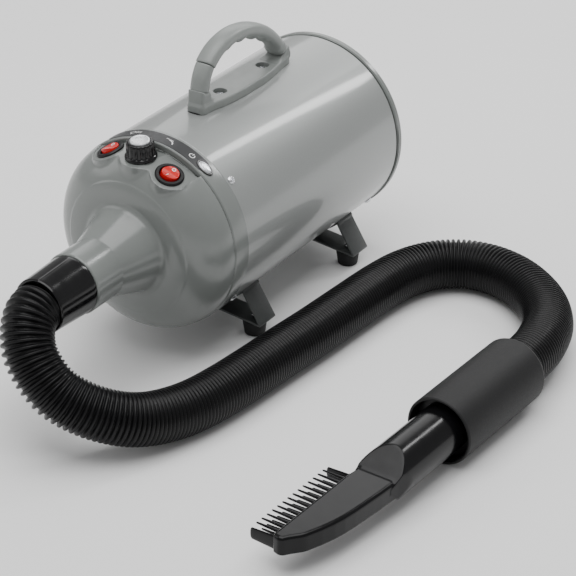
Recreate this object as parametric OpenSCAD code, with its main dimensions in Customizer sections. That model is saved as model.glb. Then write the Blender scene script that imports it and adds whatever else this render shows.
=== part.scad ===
// Pet grooming dryer: a barrel blower on four rubber feet, with a ribbed hose,
// a grip and a comb nozzle. Units are millimetres. +Z is up, the air leaves
// towards -Y, and the origin is on the floor under the middle of the dryer.

/* [Barrel] */
// Outside diameter of the painted barrel
barrel_d = 172; // [160:1:190]
// Sheet thickness of the barrel
barrel_wall = 1.2; // [0.8:0.1:2]
// Front edge of the barrel along Y
barrel_y0 = -61.8; // [-70:0.1:-50]
// Rear edge of the barrel along Y
barrel_y1 = 181; // [160:0.5:200]
// Height of the barrel's axis above the floor
axis_h = 110; // [100:1:130]

/* [Front cap and snout] */
// Radius of the ring between cap and barrel
ring_r = 87; // [84:0.5:96]
// Length of that ring's visible band
ring_w = 19.6; // [12:0.2:30]
// Wall thickness of the moulded cap
cap_wall = 2.6; // [2:0.1:4]
// Depth of the domed corner
dome_depth = 37.5; // [25:0.5:50]
// Outside radius of the snout tube
snout_r = 26.9; // [24:0.1:32]
// Bore radius of the snout tube, where the hose cuff plugs in
snout_bore = 25.2; // [22:0.1:30]
// Front end of the snout along Y
snout_end = -192; // [-210:1:-170]

/* [Controls] */
// Diameter of a rocker switch's bezel
bezel_d = 24.4; // [20:0.2:30]
// Diameter of the red rocker
rocker_d = 17; // [14:0.2:20]
// Tilt of a rocker to either side of level
rocker_tilt = 8; // [5:1:12]
// Diameter of the speed knob's skirt
knob_skirt_d = 27.8; // [20:0.2:28]
// Height of the speed knob
knob_h = 15; // [10:0.5:22]

// Sideways tilt of the two rocker switches
side_roll = 21; // [10:1:30]

/* [Handle] */
// Width of the grip
grip_w = 17.6; // [14:0.2:28]
// Thickness of the grip
grip_t = 11.6; // [9:0.2:20]
// Half width of the handle's base plate
plate_hw = 15; // [14:0.5:26]

/* [Feet] */
// Sideways distance of a foot from the middle
foot_x = 62; // [50:1:80]
// Front feet along Y
foot_y0 = -18; // [-40:1:0]
// Rear feet along Y
foot_y1 = 136; // [110:1:160]
// Width of a bracket's steel strip
strip_w = 24; // [18:1:34]
// Thickness of that strip
strip_t = 2; // [1:0.5:3]

/* [Hose and nozzle] */
// Outside diameter of the ribbed hose
hose_d = 45; // [38:0.5:52]
// Outside diameter of the grip sleeve
sleeve_d = 60; // [50:1:70]
// Length of the grip sleeve
sleeve_len = 119; // [100:1:160]
// Outside diameter of the nozzle's tube
nozzle_d = 42.6; // [38:0.1:50]
// Number of teeth between the comb's end plates
teeth = 14; // [8:1:20]

/* [Hidden] */
$fn = 72;
e = 0.01;
barrel_r = barrel_d / 2;
inner_r = barrel_r - barrel_wall;
groove_y = barrel_y0 - 0.2 - ring_w - 0.6;
dome_ri = 44;
// centres of the three control lands: left rocker, knob, right rocker
panel_pos = [[-31.5, -94.2, 184], [2, -96.3, 187.6], [32.6, -98.8, 180]];
shaft_r = 4;
gland_z = 34.2;
nozzle_r = nozzle_d / 2;
sleeve_r = sleeve_d / 2;
tool_pos = [302.5, -111, sleeve_r];
tool_turn = -2.3;
grey = [0.56, 0.57, 0.56];
barrel_grey = [0.60, 0.61, 0.60];
bracket_grey = [0.36, 0.37, 0.37];
black = [0.06, 0.06, 0.065];
chrome = [0.8, 0.8, 0.82];

// Hose centreline, from the cuff's end face to the back of the grip sleeve
hose_pts = [
    [0, -237, 110], [1.2, -248.6, 107.4], [5.8, -259.4, 98.2], [13.8, -267, 85.6],
    [26.1, -269.8, 71.5], [40.2, -268.7, 58.7], [55.5, -262, 48.3], [70.6, -251.3, 39.5],
    [84.5, -237.1, 32.5], [94.7, -220, 27.4], [103, -198.9, 24.2], [110, -174.9, 22.8],
    [115.1, -145.2, 22.6], [118.7, -110.1, 22.6], [122.2, -65, 22.6], [126, -20, 22.6],
    [129, 30, 22.6], [132, 75, 22.6], [138, 110, 22.6], [151, 137, 22.6],
    [172, 155, 22.6], [198, 161, 22.6], [226, 156, 22.8], [252, 142, 23.2],
    [275, 121, 24.2], [293, 93, 26], [303, 63, 28.2], [307, 38, 29.6],
    [307.3, 7.9, 30]
];

// ---- helpers ----
// Places children on the barrel's axis, with their +Z along +Y
module ay(y) { translate([0, y, axis_h]) rotate([-90, 0, 0]) children(); }
// A ring about the barrel's axis
module ring(y0, y1, r_out, r_in) {
    ay(y0) difference() {
        cylinder(h = y1 - y0, r = r_out);
        translate([0, 0, -1]) cylinder(h = y1 - y0 + 2, r = r_in);
    }
}
// Places children at angle a from the top, on radius r, with +Z outward
module radial(a, r, y) { translate([0, y, axis_h]) rotate([0, a, 0]) translate([0, 0, r]) children(); }
// Places children in the tool's frame: +Y from the nozzle to the hose
module tool() { translate(tool_pos) rotate([0, 0, tool_turn]) children(); }
module tool_tube(v0, v1, r_out, r_in) {
    tool() translate([0, v0, 0]) rotate([-90, 0, 0]) difference() {
        cylinder(h = v1 - v0, r = r_out);
        translate([0, 0, -1]) cylinder(h = v1 - v0 + 2, r = r_in);
    }
}
// A pan-head screw pointing down, its head's seat at z = 0
module pan_screw(head_r, head_h, shank_r, len) {
    rotate_extrude() polygon([[0, -len], [shank_r, -len], [shank_r, 0], [head_r, 0],
        [head_r, head_h * 0.45], [head_r * 0.72, head_h * 0.9], [head_r * 0.4, head_h],
        [head_r * 0.25, head_h], [head_r * 0.22, head_h * 0.5], [0, head_h * 0.5]]);
}
// Control positions: -1 left rocker, 0 knob, 1 right rocker
module on_panel(side) {
    translate(panel_pos[side + 1])
        rotate(side == 0 ? [4, 0, 0] : [9, side * side_roll, 0]) children();
}
// Centripetal-like smoothing: Catmull-Rom points through a list
function cr(p0, p1, p2, p3, t) = 0.5 * (2 * p1 + (p2 - p0) * t
    + (2 * p0 - 5 * p1 + 4 * p2 - p3) * t * t + (3 * p1 - p0 - 3 * p2 + p3) * t * t * t);
function smooth_path(p, n) = concat([for (i = [0:len(p) - 2]) for (k = [0:n - 1])
    cr(p[max(i - 1, 0)], p[i], p[i + 1], p[min(i + 2, len(p) - 1)], k / n)], [p[len(p) - 1]]);
function unit(v) = v / norm(v);
function tangent(p, i) = unit(p[min(i + 1, len(p) - 1)] - p[max(i - 1, 0)]);
// Closed solid through rings of points, all with the same number of points
module skin(rings) {
    n = len(rings[0]);
    m = len(rings);
    pts = [for (r = rings) for (q = r) q];
    sides = [for (i = [0:m - 2]) for (j = [0:n - 1])
        [i * n + j, i * n + (j + 1) % n, (i + 1) * n + (j + 1) % n, (i + 1) * n + j]];
    polyhedron(points = pts, convexity = 6,
        faces = concat([[for (j = [n - 1:-1:0]) j]], sides, [[for (j = [0:n - 1]) (m - 1) * n + j]]));
}

// ---- barrel and rear ----
module barrel_shell() {
    color(barrel_grey) difference() {
        union() {
            ring(barrel_y0, barrel_y1, barrel_r, inner_r);
            ring(barrel_y1 - 2, barrel_y1, barrel_r, barrel_r - 2.4);
        }
        for (a = [-49, 49, -131, 131]) radial(a, inner_r - 3, -55.7) cylinder(h = 8, r = 1.7);
        for (a = [-135, 135, 180]) radial(a, inner_r - 3, 172) cylinder(h = 8, r = 1.7);
        for (y = [22, 88]) radial(0, inner_r - 3, y) cylinder(h = 8, r = 2.2);
        for (y = [foot_y0, foot_y1], a = [172, 188]) radial(a, inner_r - 3, y) cylinder(h = 8, r = 2.2);
    }
}
module front_ring() {
    color(grey) difference() {
        ay(0) rotate_extrude() polygon([
            [81.6, groove_y + 0.6], [86.4, groove_y + 0.6], [ring_r, groove_y + 1.4],
            [ring_r, barrel_y0 - 1], [86.6, barrel_y0 - 0.2], [84.7, barrel_y0 - 0.2],
            [84.7, -44], [81.6, -44]]);
        for (a = [-49, 49, -131, 131]) radial(a, inner_r - 5, -55.7) cylinder(h = 8, r = 1.65);
    }
}
module rear_frame() {
    color(grey) difference() {
        ay(0) rotate_extrude() polygon([
            [81.6, 164], [84.6, 164], [84.6, 178.8], [83.4, 178.8], [83.4, 181.4], [86, 181.4],
            [87.1, 182.4], [87.1, 186.4], [86, 187.4], [69.4, 187.4], [69.4, 184.6],
            [64.6, 184.6], [64.6, 176], [61.5, 176], [61.5, 173], [67.6, 173], [67.6, 181.6], [81.6, 181.6]]);
        translate([0, 187.5, gland_z]) rotate([90, 0, 0]) cylinder(h = 8, r = 4.6);
        for (a = [-135, 135, 180]) radial(a, inner_r - 5, 172) cylinder(h = 8, r = 1.65);
    }
}
module rear_cover() {
    color(grey) {
        ring(184.8, 189.6, 69, 62);
        ring(176.4, 185.2, 64.3, 62);
        ay(0) rotate_extrude() polygon([[62.4, 186.6], [66, 189.5], [64, 190.6], [62.4, 190.2]]);
        for (r = [12, 22, 32, 42, 52]) ring(188, 192, r + 1.5, r - 1.5);
        ring(188, 192, 62.6, 59.4);
        ay(188) cylinder(h = 4, r = 5);
        for (a = [0:45:315]) ay(188) rotate([0, 0, a]) translate([3, -1.2, 0]) cube([58, 2.4, 3]);
        ay(182) difference() { cylinder(h = 6.2, r = 7); translate([0, 0, -1]) cylinder(h = 3, r = 4); }
    }
}
module filter_foam() {
    color([0.12, 0.12, 0.13]) ring(177, 187.6, 61.6, 7.4);
}
module cord_gland() {
    color(black) translate([0, 0, gland_z]) rotate([90, 0, 0]) rotate_extrude() polygon([
        [3.4, -191.5], [5, -191.5], [6.2, -188.8], [6.2, -187.4], [4.6, -187.4], [4.6, -181.6],
        [5.7, -181.6], [5.7, -179], [3.4, -179]]);
}
module barrel_liner() {
    color([0.15, 0.15, 0.16]) difference() {
        ring(2, 104, inner_r - 0.1, 79);
        for (y = [22, 88]) radial(0, 74, y) cylinder(h = 14, r = 6);
    }
}

// ---- front cap ----
dome_prof = [for (t = [0:6:90]) [dome_ri + (86.4 - dome_ri) * cos(t), groove_y - dome_depth * sin(t)]];
fillet_prof = [for (a = [12:12:72]) [dome_ri - 7 * sin(a), groove_y - dome_depth - 7 + 7 * cos(a)]];
in_prof = [for (t = [0:6:90]) [dome_ri + 0.5 + (86.4 - cap_wall - dome_ri - 0.5) * cos(t),
    groove_y - (dome_depth - cap_wall) * sin(t)]];
module cap_outer() {
    ay(0) rotate_extrude($fn = 120) polygon(concat([[0, groove_y + 8], [81.3, groove_y + 8], [81.3, groove_y]],
        dome_prof, fillet_prof, [[26.5, -160], [snout_r - 0.2, -160.6], [snout_r, -164],
        [snout_r, snout_end + 0.6], [snout_r - 0.5, snout_end], [0, snout_end]]));
}
module cap_cavity() {
    ay(0) rotate_extrude($fn = 120) polygon(concat([[0, groove_y + 9], [78.8, groove_y + 9], [78.8, groove_y]],
        in_prof, [[41, groove_y - dome_depth + cap_wall - 1], [36, groove_y - dome_depth - 2],
        [34, groove_y - dome_depth - 5.5], [24, -158], [24, -169], [0, -169]]));
}
// Everything above the three flat lands that carry the controls
module panel_cuts(d) {
    intersection() {
        translate([-70, groove_y - 60, 120]) cube([140, 60, 90]);
        union() {
            on_panel(0) translate([-60, -40, -d]) cube([120, 70, 40]);
            for (s = [-1, 1]) on_panel(s) rotate([0, 0, -8 * s])
                translate([s > 0 ? -30 : -17, -40, -d]) cube([47, 70, 40]);
        }
    }
}
module bosses(d) {
    on_panel(0) translate([0, 0, -30]) cylinder(h = 30 - d, r = 18.5);
    for (s = [-1, 1]) on_panel(s) translate([0, 0, -26]) cylinder(h = 26 - d, r = 16.5);
}
module front_cap() {
    color(grey) difference() {
        union() {
            difference() { cap_outer(); panel_cuts(0); }
            intersection() { bosses(0); translate([-70, groove_y - 40, 140]) cube([140, 39.6, 60]); }
        }
        difference() { cap_cavity(); panel_cuts(cap_wall); }
        ay(snout_end - 1) cylinder(h = 26, r = snout_bore);
        on_panel(0) translate([0, 0, -40]) cylinder(h = 50, r = 3.6);
        on_panel(0) translate([0, 0, -40]) cylinder(h = 40 - cap_wall, r = 10);
        for (s = [-1, 1]) on_panel(s) translate([0, 0, -40]) cylinder(h = 50, r = 10.2);
    }
}
module outlet_grille() {
    color([0.2, 0.2, 0.21]) ay(-169.4) difference() {
        cylinder(h = 2.4, r = 24.9);
        for (q = concat([[0, 0]], [for (t = [0:60:300]) [8.4, t]], [for (t = [0:30:330]) [17, t + 15]]))
            rotate([0, 0, q[1]]) translate([q[0], 0, -1]) cylinder(h = 5, r = 3.6);
    }
}
module label_strip() {
    color([0.18, 0.18, 0.19]) intersection() {
        ring(-80.2, -65.6, ring_r + 0.35, ring_r);
        ay(-90) linear_extrude(40) polygon([[0, 0], [-64, -100], [76, -100]]);
    }
}
module status_lens() {
    color([0.75, 0.77, 0.78]) radial(35.6, ring_r + 0.36, -72.2) cylinder(h = 1.1, r = 3.6);
}

// ---- controls ----
module switch_body(s) {
    color(black) on_panel(s) difference() {
        union() {
            rotate_extrude() polygon([[0, -16], [10, -16], [10, 0.1], [bezel_d / 2, 0.1],
                [bezel_d / 2, 1.1], [bezel_d / 2 - 1.2, 2.2], [bezel_d / 2 - 3, 2.2], [0, 2.2]]);
            for (x = [-4, 4]) translate([x - 0.4, -3, -20.5]) cube([0.8, 6, 5]);
        }
        translate([0, 0, -6.2]) cylinder(h = 10, r = rocker_d / 2 + 0.35);
        translate([0, 0, -3]) rotate([0, 90, 0]) translate([0, 0, -9.6]) cylinder(h = 19.2, r = 1.05);
    }
}
module switch_body_left() { switch_body(-1); }
module switch_body_right() { switch_body(1); }
// The rocker turns on a pin along local X, 3 mm under the panel
module rocker(s) {
    color([0.8, 0.06, 0.05]) on_panel(s) translate([0, 0, -3]) rotate([-rocker_tilt, 0, 0]) {
        {
            intersection() {
                translate([0, 0, -2.4]) cylinder(h = 12, r1 = rocker_d / 2 - 0.1, r2 = rocker_d / 2 - 1.35);
                rotate([0, 90, 0]) translate([0, 0, -10]) linear_extrude(20)
                    polygon([[2.2, -3], [2.2, 3], [-2.6, 8.4], [-7.4, 8.4], [-6.2, 4], [-5.9, 0], [-6.2, -4], [-7.4, -8.4], [-2.6, -8.4]]);
            }
        }
        rotate([0, 90, 0]) translate([0, 0, -9.4]) cylinder(h = 18.8, r = 1);
    }
}
module rocker_left() { rocker(-1); }
module rocker_right() { rocker(1); }
module speed_knob() {
    color(black) on_panel(0) translate([0, 0, 0.5]) difference() {
        union() {
            rotate_extrude() polygon([[6.5, 0], [knob_skirt_d / 2 - 0.6, 0], [knob_skirt_d / 2, 0.8],
                [knob_skirt_d / 2, 1.6], [12.6, 3.2], [10.6, 3.4], [10.6, knob_h - 1], [10, knob_h], [8.6, knob_h],
                [8.6, knob_h - 1.2], [3, knob_h - 1.2], [3, 2.8], [6.5, 2.8]]);
            difference() {
                translate([0, 0, 3]) cylinder(h = knob_h - 4.2, r = 12.2);
                translate([0, 0, 2]) cylinder(h = knob_h, r = 10.2);
                for (a = [0:20:340]) rotate([0, 0, a]) translate([12.9, 0, 3.6]) cylinder(h = 20, r = 1.3, $fn = 24);
            }
        }
    }
}
module knob_cap() {
    color([0.86, 0.87, 0.88]) on_panel(0) translate([0, 0, knob_h - 0.7])
        rotate_extrude() polygon([[0, 0], [8.6, 0], [8.6, 1.3], [7.8, 1.9], [5, 1.7], [0, 1.5]]);
}
module potentiometer() {
    color([0.5, 0.5, 0.48]) on_panel(0) difference() {
        union() {
            translate([0, 0, -14]) cylinder(h = 10, r = 8.4);
            translate([0, 0, -4.2]) cylinder(h = 6.6, r = 3.5);
            translate([0, 0, 0.05]) cylinder(h = 2, r = 5.4, $fn = 6);
            translate([0, 0, -4.2]) cylinder(h = 1.55, r = 5.4);
            translate([-5, 8, -13]) cube([10, 5, 1]);
        }
        translate([0, 0, -9]) cylinder(h = 12, r = 3.05);
    }
}
module pot_shaft() {
    color([0.75, 0.75, 0.72]) on_panel(0) translate([0, 0, -8.6]) cylinder(h = 17, r = 3);
}

// ---- handle ----
// Centreline of the arch in the Y-Z plane
arch = [[-8.5, 214.2], [-5, 226], [2.5, 236.5], [16, 245], [34, 249], [52, 248.3], [70, 243.6],
    [87, 235], [102, 222], [111, 209]];
function arch_ring(p, i, a, b, bump) = let (t = tangent(p, i), nrm = [-t[1], t[0]])
    [for (k = [0:23]) let (g = k * 15, sx = cos(g), sz = sin(g),
        u = a * sign(sx) * pow(abs(sx), 0.8), w = (b + (sz < 0 ? bump : 0)) * sign(sz) * pow(abs(sz), 0.8))
        [u, p[i][0] + nrm[0] * w, p[i][1] + nrm[1] * w]];
module arch_part(p, grow, waves) {
    n = len(p) - 1;
    skin([for (i = [0:n]) arch_ring(p, n - i, grip_w / 2 + grow, grip_t / 2 + grow,
        waves ? 1.5 * max(0, sin(180 * 5 * (n - i) / n)) * sin(180 * (n - i) / n) : 0)]);
}
arch_path = smooth_path(arch, 6);
// Block whose lower face is the seam plane between the leg and the grip, moved up by o
module seam_block(o) {
    t = tangent(arch_path, 11);
    translate([0, arch_path[11][0], arch_path[11][1]]) rotate([-atan2(t[0], t[1]), 0, 0])
        translate([-20, -20, o]) cube([40, 40, 30]);
}
module handle_front_leg() {
    color(grey) difference() {
        arch_part([for (i = [0:11]) arch_path[i]], 0, false);
        seam_block(-0.05);
        // flat foot on the front stub
        translate([-20, -40, 180]) cube([40, 80, 34.05]);
    }
}
module handle_grip() {
    color(grey) difference() {
        arch_part([for (i = [11:len(arch_path) - 1]) arch_path[i] + [0, 0]], 0.35, true);
        seam_block(-29.97);
    }
}
plate_plan = [[-8.2, -13.6], [-6.2, -16.2], [6.2, -16.2], [8.2, -13.6], [9.8, -2], [12.6, 10], [14, 22],
    [plate_hw, 40], [plate_hw, 70], [13.4, 86], [10.6, 102], [9, 114], [6.5, 118], [-6.5, 118], [-9, 114], [-10.6, 102],
    [-13.4, 86], [-plate_hw, 70], [-plate_hw, 40], [-14, 22], [-12.6, 10], [-9.8, -2]];
module handle_base() {
    color(grey) difference() {
        union() {
            translate([0, 0, 188]) linear_extrude(14.6) polygon(plate_plan);
            // front stub, up to the seam with the front leg
            translate([0, 0, 200]) rotate([0, 0, 0]) linear_extrude(14) polygon([[-8.6, -14], [-6.6, -15.4],
                [6.6, -15.4], [8.6, -14], [8.8, -4], [6.6, -2.4], [-6.6, -2.4], [-8.8, -4]]);
            translate([0, -20, 200]) rotate([90, 0, 90]) translate([0, 0, -8.6])
                linear_extrude(17.2) polygon([[4, 0], [19, 0], [17.6, 4], [16.6, 8], [4.6, 13.9], [3.8, 8]]);
            // rear stub, up to the joint with the grip
            translate([-8.8, 0, 0]) rotate([90, 0, 90]) linear_extrude(17.6)
                polygon([[96, 200], [104.2, 203.9], [117.2, 211.9], [118.6, 208], [119, 200]]);
            // thin tail behind the rear stub, down to the barrel
            translate([-5, 0, 0]) rotate([90, 0, 90]) linear_extrude(10) polygon([[116, 196.2],
                [121.4, 195.8], [124.6, 199.2], [124.8, 203], [121.5, 210.6], [118.4, 211.4], [116, 208]]);
        }
        ay(-40) cylinder(h = 200, r = barrel_r + 0.02, $fn = 120);
        for (y = [22, 88]) translate([0, y, 180]) {
            cylinder(h = 30, r = 2.2);
            translate([0, 0, 18.4]) cylinder(h = 10, r = 5.9);
        }
    }
}
module handle_screws() {
    color(chrome) for (y = [22, 88]) translate([0, y, 198.4]) {
        pan_screw(4, 2.6, 2.1, 10);
        translate([0, 0, -6.3]) cylinder(h = 2.4, r = 4.2, $fn = 6);
    }
}

// ---- feet ----
arc_a = 42;
module strip_2d() {
    r0 = barrel_r + 0.02;
    difference() {
        circle(r = r0 + strip_t, $fn = 120);
        circle(r = r0, $fn = 120);
        polygon([[0, 0], [200 * sin(arc_a), -200 * cos(arc_a)], [300, 0], [300, 300], [-300, 300], [-300, 0],
            [-200 * sin(arc_a), -200 * cos(arc_a)]]);
    }
    for (s = [-1, 1]) scale([s, 1]) {
        polygon([[57.55, -63.93], [56.5, -65.6], [57.1, -67], [73.6, -93.3], [74.6, -94.9], [77, -95.4]]);
        polygon([[77, -95.4], [76.3, -95.9], [18, -90.1], [18, -88], [20, -87.6], [75, -93.4]]);
    }
}
module bracket(y) {
    color(bracket_grey) difference() {
        translate([0, y + strip_w / 2, axis_h]) rotate([90, 0, 0]) linear_extrude(strip_w) strip_2d();
        for (s = [-1, 1]) translate([s * foot_x, y, 10]) cylinder(h = 12, r = 2.2);
        for (a = [172, 188]) radial(a, inner_r - 3, y) cylinder(h = 8, r = 2.2);
    }
}
module front_bracket() { bracket(foot_y0); }
module rear_bracket() { bracket(foot_y1); }
module rubber_feet() {
    color([0.07, 0.07, 0.07]) for (y = [foot_y0, foot_y1], s = [-1, 1]) difference() {
        translate([s * foot_x, y, 0]) rotate_extrude() polygon([[0, 0], [8.4, 0], [9.2, 0.9], [10.8, 12], [10.8, 20], [0, 20]]);
        translate([0, y + 20, axis_h]) rotate([90, 0, 0]) linear_extrude(40)
            scale([s, 1]) polygon([[90, -97.35], [30, -91.35], [30, -60], [90, -60]]);
        translate([s * foot_x, y, 5.6]) cylinder(h = 30, r = 2.05);
        translate([s * foot_x, y, -1]) cylinder(h = 2.4, r = 5);
    }
}
module foot_screws() {
    color(chrome) for (y = [foot_y0, foot_y1], s = [-1, 1]) translate([s * foot_x, y, 18.4]) pan_screw(3.6, 2.4, 2, 12.4);
}
module bracket_screws() {
    color(chrome) for (y = [foot_y0, foot_y1], a = [172, 188]) radial(a, barrel_r + strip_t, y) {
        pan_screw(3.6, 1.8, 2, 10);
        translate([0, 0, -strip_t - barrel_wall - 3]) cylinder(h = 2.8, r = 4, $fn = 6);
    }
}
module shell_screws() {
    color(chrome) {
        for (a = [-49, 49, -131, 131]) radial(a, barrel_r, -55.7) pan_screw(3.9, 2.4, 1.6, 7);
        for (a = [-135, 135, 180]) radial(a, barrel_r, 172) pan_screw(3.9, 2.4, 1.6, 7);
    }
}

// ---- blower ----
module baffle() {
    color([0.7, 0.7, 0.7]) difference() {
        ring(106, 108, inner_r - 0.1, 62.6);
        translate([0, 120, 35]) rotate([90, 0, 0]) cylinder(h = 30, r = 3);
    }
}
module mount_ring() {
    color([0.1, 0.1, 0.1]) ay(0) rotate_extrude() polygon([[60.2, 101], [66, 101], [66, 105.9], [62.5, 105.9],
        [62.5, 108.1], [66, 108.1], [66, 113], [60.2, 113]]);
}
module fan_case() {
    color([0.72, 0.72, 0.74]) ay(0) rotate_extrude() polygon([[20, 127], [59, 127], [60, 126], [60, 97], [44, 94.4],
        [44, 93.2], [12, 93.2], [12, 95.2], [42.6, 95.2], [42.6, 96], [58.8, 98.4], [58.8, 125.8], [20, 125.8]]);
}
module motor_can() {
    color([0.62, 0.63, 0.65]) difference() {
        ay(0) rotate_extrude() polygon([[11.2, 27], [16, 27], [16, 33], [30, 35], [42, 44], [42, 93], [40.4, 93],
            [40.4, 45], [29, 36.8], [14, 34.8], [14, 29], [13, 29], [13, 35.6], [11.2, 35.6]]);
        for (a = [30:60:330]) ay(60) rotate([0, 0, a]) translate([34, -5, -13]) cube([12, 10, 8]);
    }
}
module stator() {
    color([0.45, 0.45, 0.47]) {
        difference() {
            ring(52, 82, 40.2, 26);
            for (a = [0, 180]) ay(50) rotate([0, 0, a + 90]) translate([24, -11, 0]) cube([9, 22, 40]);
        }
    }
}
module field_coils() {
    color([0.72, 0.36, 0.14]) for (a = [0, 180]) ay(48) rotate([0, 0, a + 90]) translate([26.6, -10.6, 0]) cube([5.8, 21.2, 39]);
}
module motor_bearings() {
    color(chrome) { ring(28.4, 35.2, 11.1, shaft_r + 0.05); ring(89, 95.6, 11.9, shaft_r + 0.05); }
}
module brush_holders() {
    color([0.78, 0.6, 0.25]) for (s = [-1, 1]) difference() {
        translate([s > 0 ? 17 : -35.5, 42, axis_h - 5]) cube([18.5, 8, 10]);
        translate([-40, 43.6, axis_h - 2.9]) cube([80, 4.8, 5.8]);
    }
}
module carbon_brushes() {
    color([0.15, 0.15, 0.15]) for (s = [-1, 1]) difference() {
        translate([s > 0 ? 10 : -34, 43.6, axis_h - 2.9]) cube([24, 4.8, 5.8]);
        ay(40) cylinder(h = 12, r = 12.06);
    }
}
module rotor_shaft() {
    color([0.8, 0.8, 0.82]) ay(26) { cylinder(h = 97, r = shaft_r); }
}
module commutator() { color([0.75, 0.42, 0.2]) ring(41, 50.5, 12, shaft_r); }
module armature() { color([0.5, 0.42, 0.35]) ring(52, 82, 25.2, shaft_r); }
module impeller() {
    color([0.8, 0.8, 0.82]) {
        ring(100, 119.6, 9, shaft_r);
        ring(100, 101.4, 55, 8.5);
        ring(117.6, 118.8, 55, 20);
        for (a = [0:45:315]) ay(101) rotate([0, 0, a]) translate([22, 0, 0]) rotate([0, 0, 32]) translate([0, -0.6, 0]) cube([32, 1.2, 17]);
    }
}
module fan_nut() {
    color(chrome) ay(119.7) difference() { cylinder(h = 3.2, r = 6.5, $fn = 6); translate([0, 0, -1]) cylinder(h = 6, r = shaft_r); }
}
module motor_spider() {
    color([0.7, 0.7, 0.7]) {
        ring(24, 33, 22.4, 20.4);
        for (a = [-90:120:150]) difference() {
            ay(24) rotate([0, 0, a]) translate([21.4, -6, 0]) cube([58, 12, 2]);
            ay(20) difference() { cylinder(h = 20, r = 120); translate([0, 0, -1]) cylinder(h = 22, r = 78.9); }
        }
    }
}
module nose_ring() { color([0.1, 0.1, 0.1]) ring(27, 32.9, 20.3, 16.1); }

// ---- heater and electrics ----
module heater_sleeve() {
    color([0.74, 0.74, 0.75]) difference() {
        union() {
            ring(-94, -2, 52, 51.2);
            ring(-3.2, -2, inner_r - 0.1, 51.6);
        }
        for (a = [0, 180]) radial(a, 70, -2.6) translate([0, 0, 5]) rotate([90, 0, 0]) translate([0, 0, -6]) cylinder(h = 12, r = 3);
    }
}
module heater_frame() {
    color([0.78, 0.72, 0.6]) difference() {
        union() {
            translate([-51, -90, axis_h - 0.6]) cube([102, 80, 1.2]);
            translate([-0.6, -90, axis_h - 51]) cube([1.2, 80, 102]);
        }
        for (y = [-84:9:-16], r = [-40, -24, 24, 40]) {
            translate([r, y, axis_h - 2]) cylinder(h = 4, r = 1.3);
            translate([-2, y, axis_h + r]) rotate([0, 90, 0]) cylinder(h = 4, r = 1.3);
        }
    }
}
module heater_coil() {
    color([0.6, 0.5, 0.4]) for (y = [-84:9:-16], r = [24, 40]) ay(y) rotate_extrude($fn = 48) translate([r, 0]) circle(r = 1.1, $fn = 16);
}
module thermal_cutout() {
    color([0.55, 0.5, 0.45]) {
        translate([0, -40, axis_h - 63]) cylinder(h = 10.95, r = 7);
        translate([-12, -44, axis_h - 59]) difference() { cube([24, 8, 1.2]); }
    }
}
module control_board() {
    color([0.1, 0.35, 0.18]) {
        difference() {
            translate([-22, -42, 168]) cube([44, 36, 1.6]);
            for (x = [-16, 16], y = [-37, -11]) translate([x, y, 160]) cylinder(h = 12, r = 1.6);
        }
        for (x = [-10, 2], y = [-34]) translate([x, y, 169.6]) cylinder(h = 8, r = 4);
    }
}
module board_posts() {
    color([0.85, 0.85, 0.8]) for (x = [-16, 16], y = [-37, -11]) difference() {
        union() {
            translate([x, y, 155]) cylinder(h = 13, r = 3);
            translate([x, y, 160]) cylinder(h = 11, r = 1.5);
        }
        ay(-60) cylinder(h = 60, r = 52.02);
    }
}
module heatsink() {
    color([0.7, 0.71, 0.73]) {
        translate([-12, -14, 169.6]) cube([24, 2, 12]);
        for (x = [-12:5.6:11]) translate([x, -12, 169.6]) cube([1.5, 6, 12]);
    }
}
module terminal_block() {
    color([0.85, 0.85, 0.82]) difference() {
        translate([-14, 108, 33.2]) cube([28, 14, 10]);
        for (x = [-9, 0, 9]) translate([x, 115, 38]) cylinder(h = 20, r = 2.4);
    }
}
module wiring() {
    color([0.7, 0.1, 0.1]) {
        translate([0, -8, 35]) rotate([-90, 0, 0]) cylinder(h = 116, r = 2);
        translate([0, -8, axis_h]) rotate([90, 90, 0]) rotate_extrude(angle = 180) translate([75, 0]) circle(r = 2);
        translate([0, -8, 35]) sphere(r = 2);
        translate([0, -8, 185]) sphere(r = 2);
        translate([0, -20, 185]) rotate([-90, 0, 0]) cylinder(h = 12, r = 2);
        translate([0, -20, 185]) sphere(r = 2);
        translate([0, -20, 169.6]) cylinder(h = 15.4, r = 2);
    }
}

// ---- hose, grip and nozzle ----
module hose_cuff() {
    color(black) ay(0) rotate_extrude() polygon([[21.5, -171], [24.8, -171], [25.15, -171.6],
        [25.15, -192.4], [25.3, -193], [24.1, -236.4], [23.6, -237], [21.5, -237]]);
}
hose_path = smooth_path(hose_pts, 2);
function hose_dir(p, i) = i == 0 ? [0, -1, 0] : i == len(p) - 1 ? [sin(tool_turn), -cos(tool_turn), 0] : tangent(p, i);
function hose_ring(p, i, r) = let (t = hose_dir(p, i), s = unit(cross(t, [0, 0, 1])), u = cross(s, t))
    [for (k = [0:11]) p[i] + r * (cos(k * 30) * s + sin(k * 30) * u)];
module hose() {
    color(black) skin([for (i = [0:len(hose_path) - 1]) hose_ring(hose_path, i, hose_d / 2)]);
}
module grip_sleeve() {
    color([0.09, 0.09, 0.09]) tool() rotate([-90, 0, 0]) rotate_extrude() polygon([
        [27.4, 0], [29, 0], [sleeve_r, 1], [sleeve_r, sleeve_len - 2.5], [28.6, sleeve_len],
        [21.5, sleeve_len], [21.5, 62], [25.2, 60], [25.2, 18], [27.4, 18]]);
}
module swivel_collar() {
    color([0.05, 0.05, 0.05]) tool() rotate([-90, 0, 0]) rotate_extrude() polygon([
        [nozzle_r + 0.05, 12], [26.6, 12], [27, 12.6], [27, 17.6], [25.15, 17.6], [25.15, 55], [nozzle_r + 0.05, 55]]);
}
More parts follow.
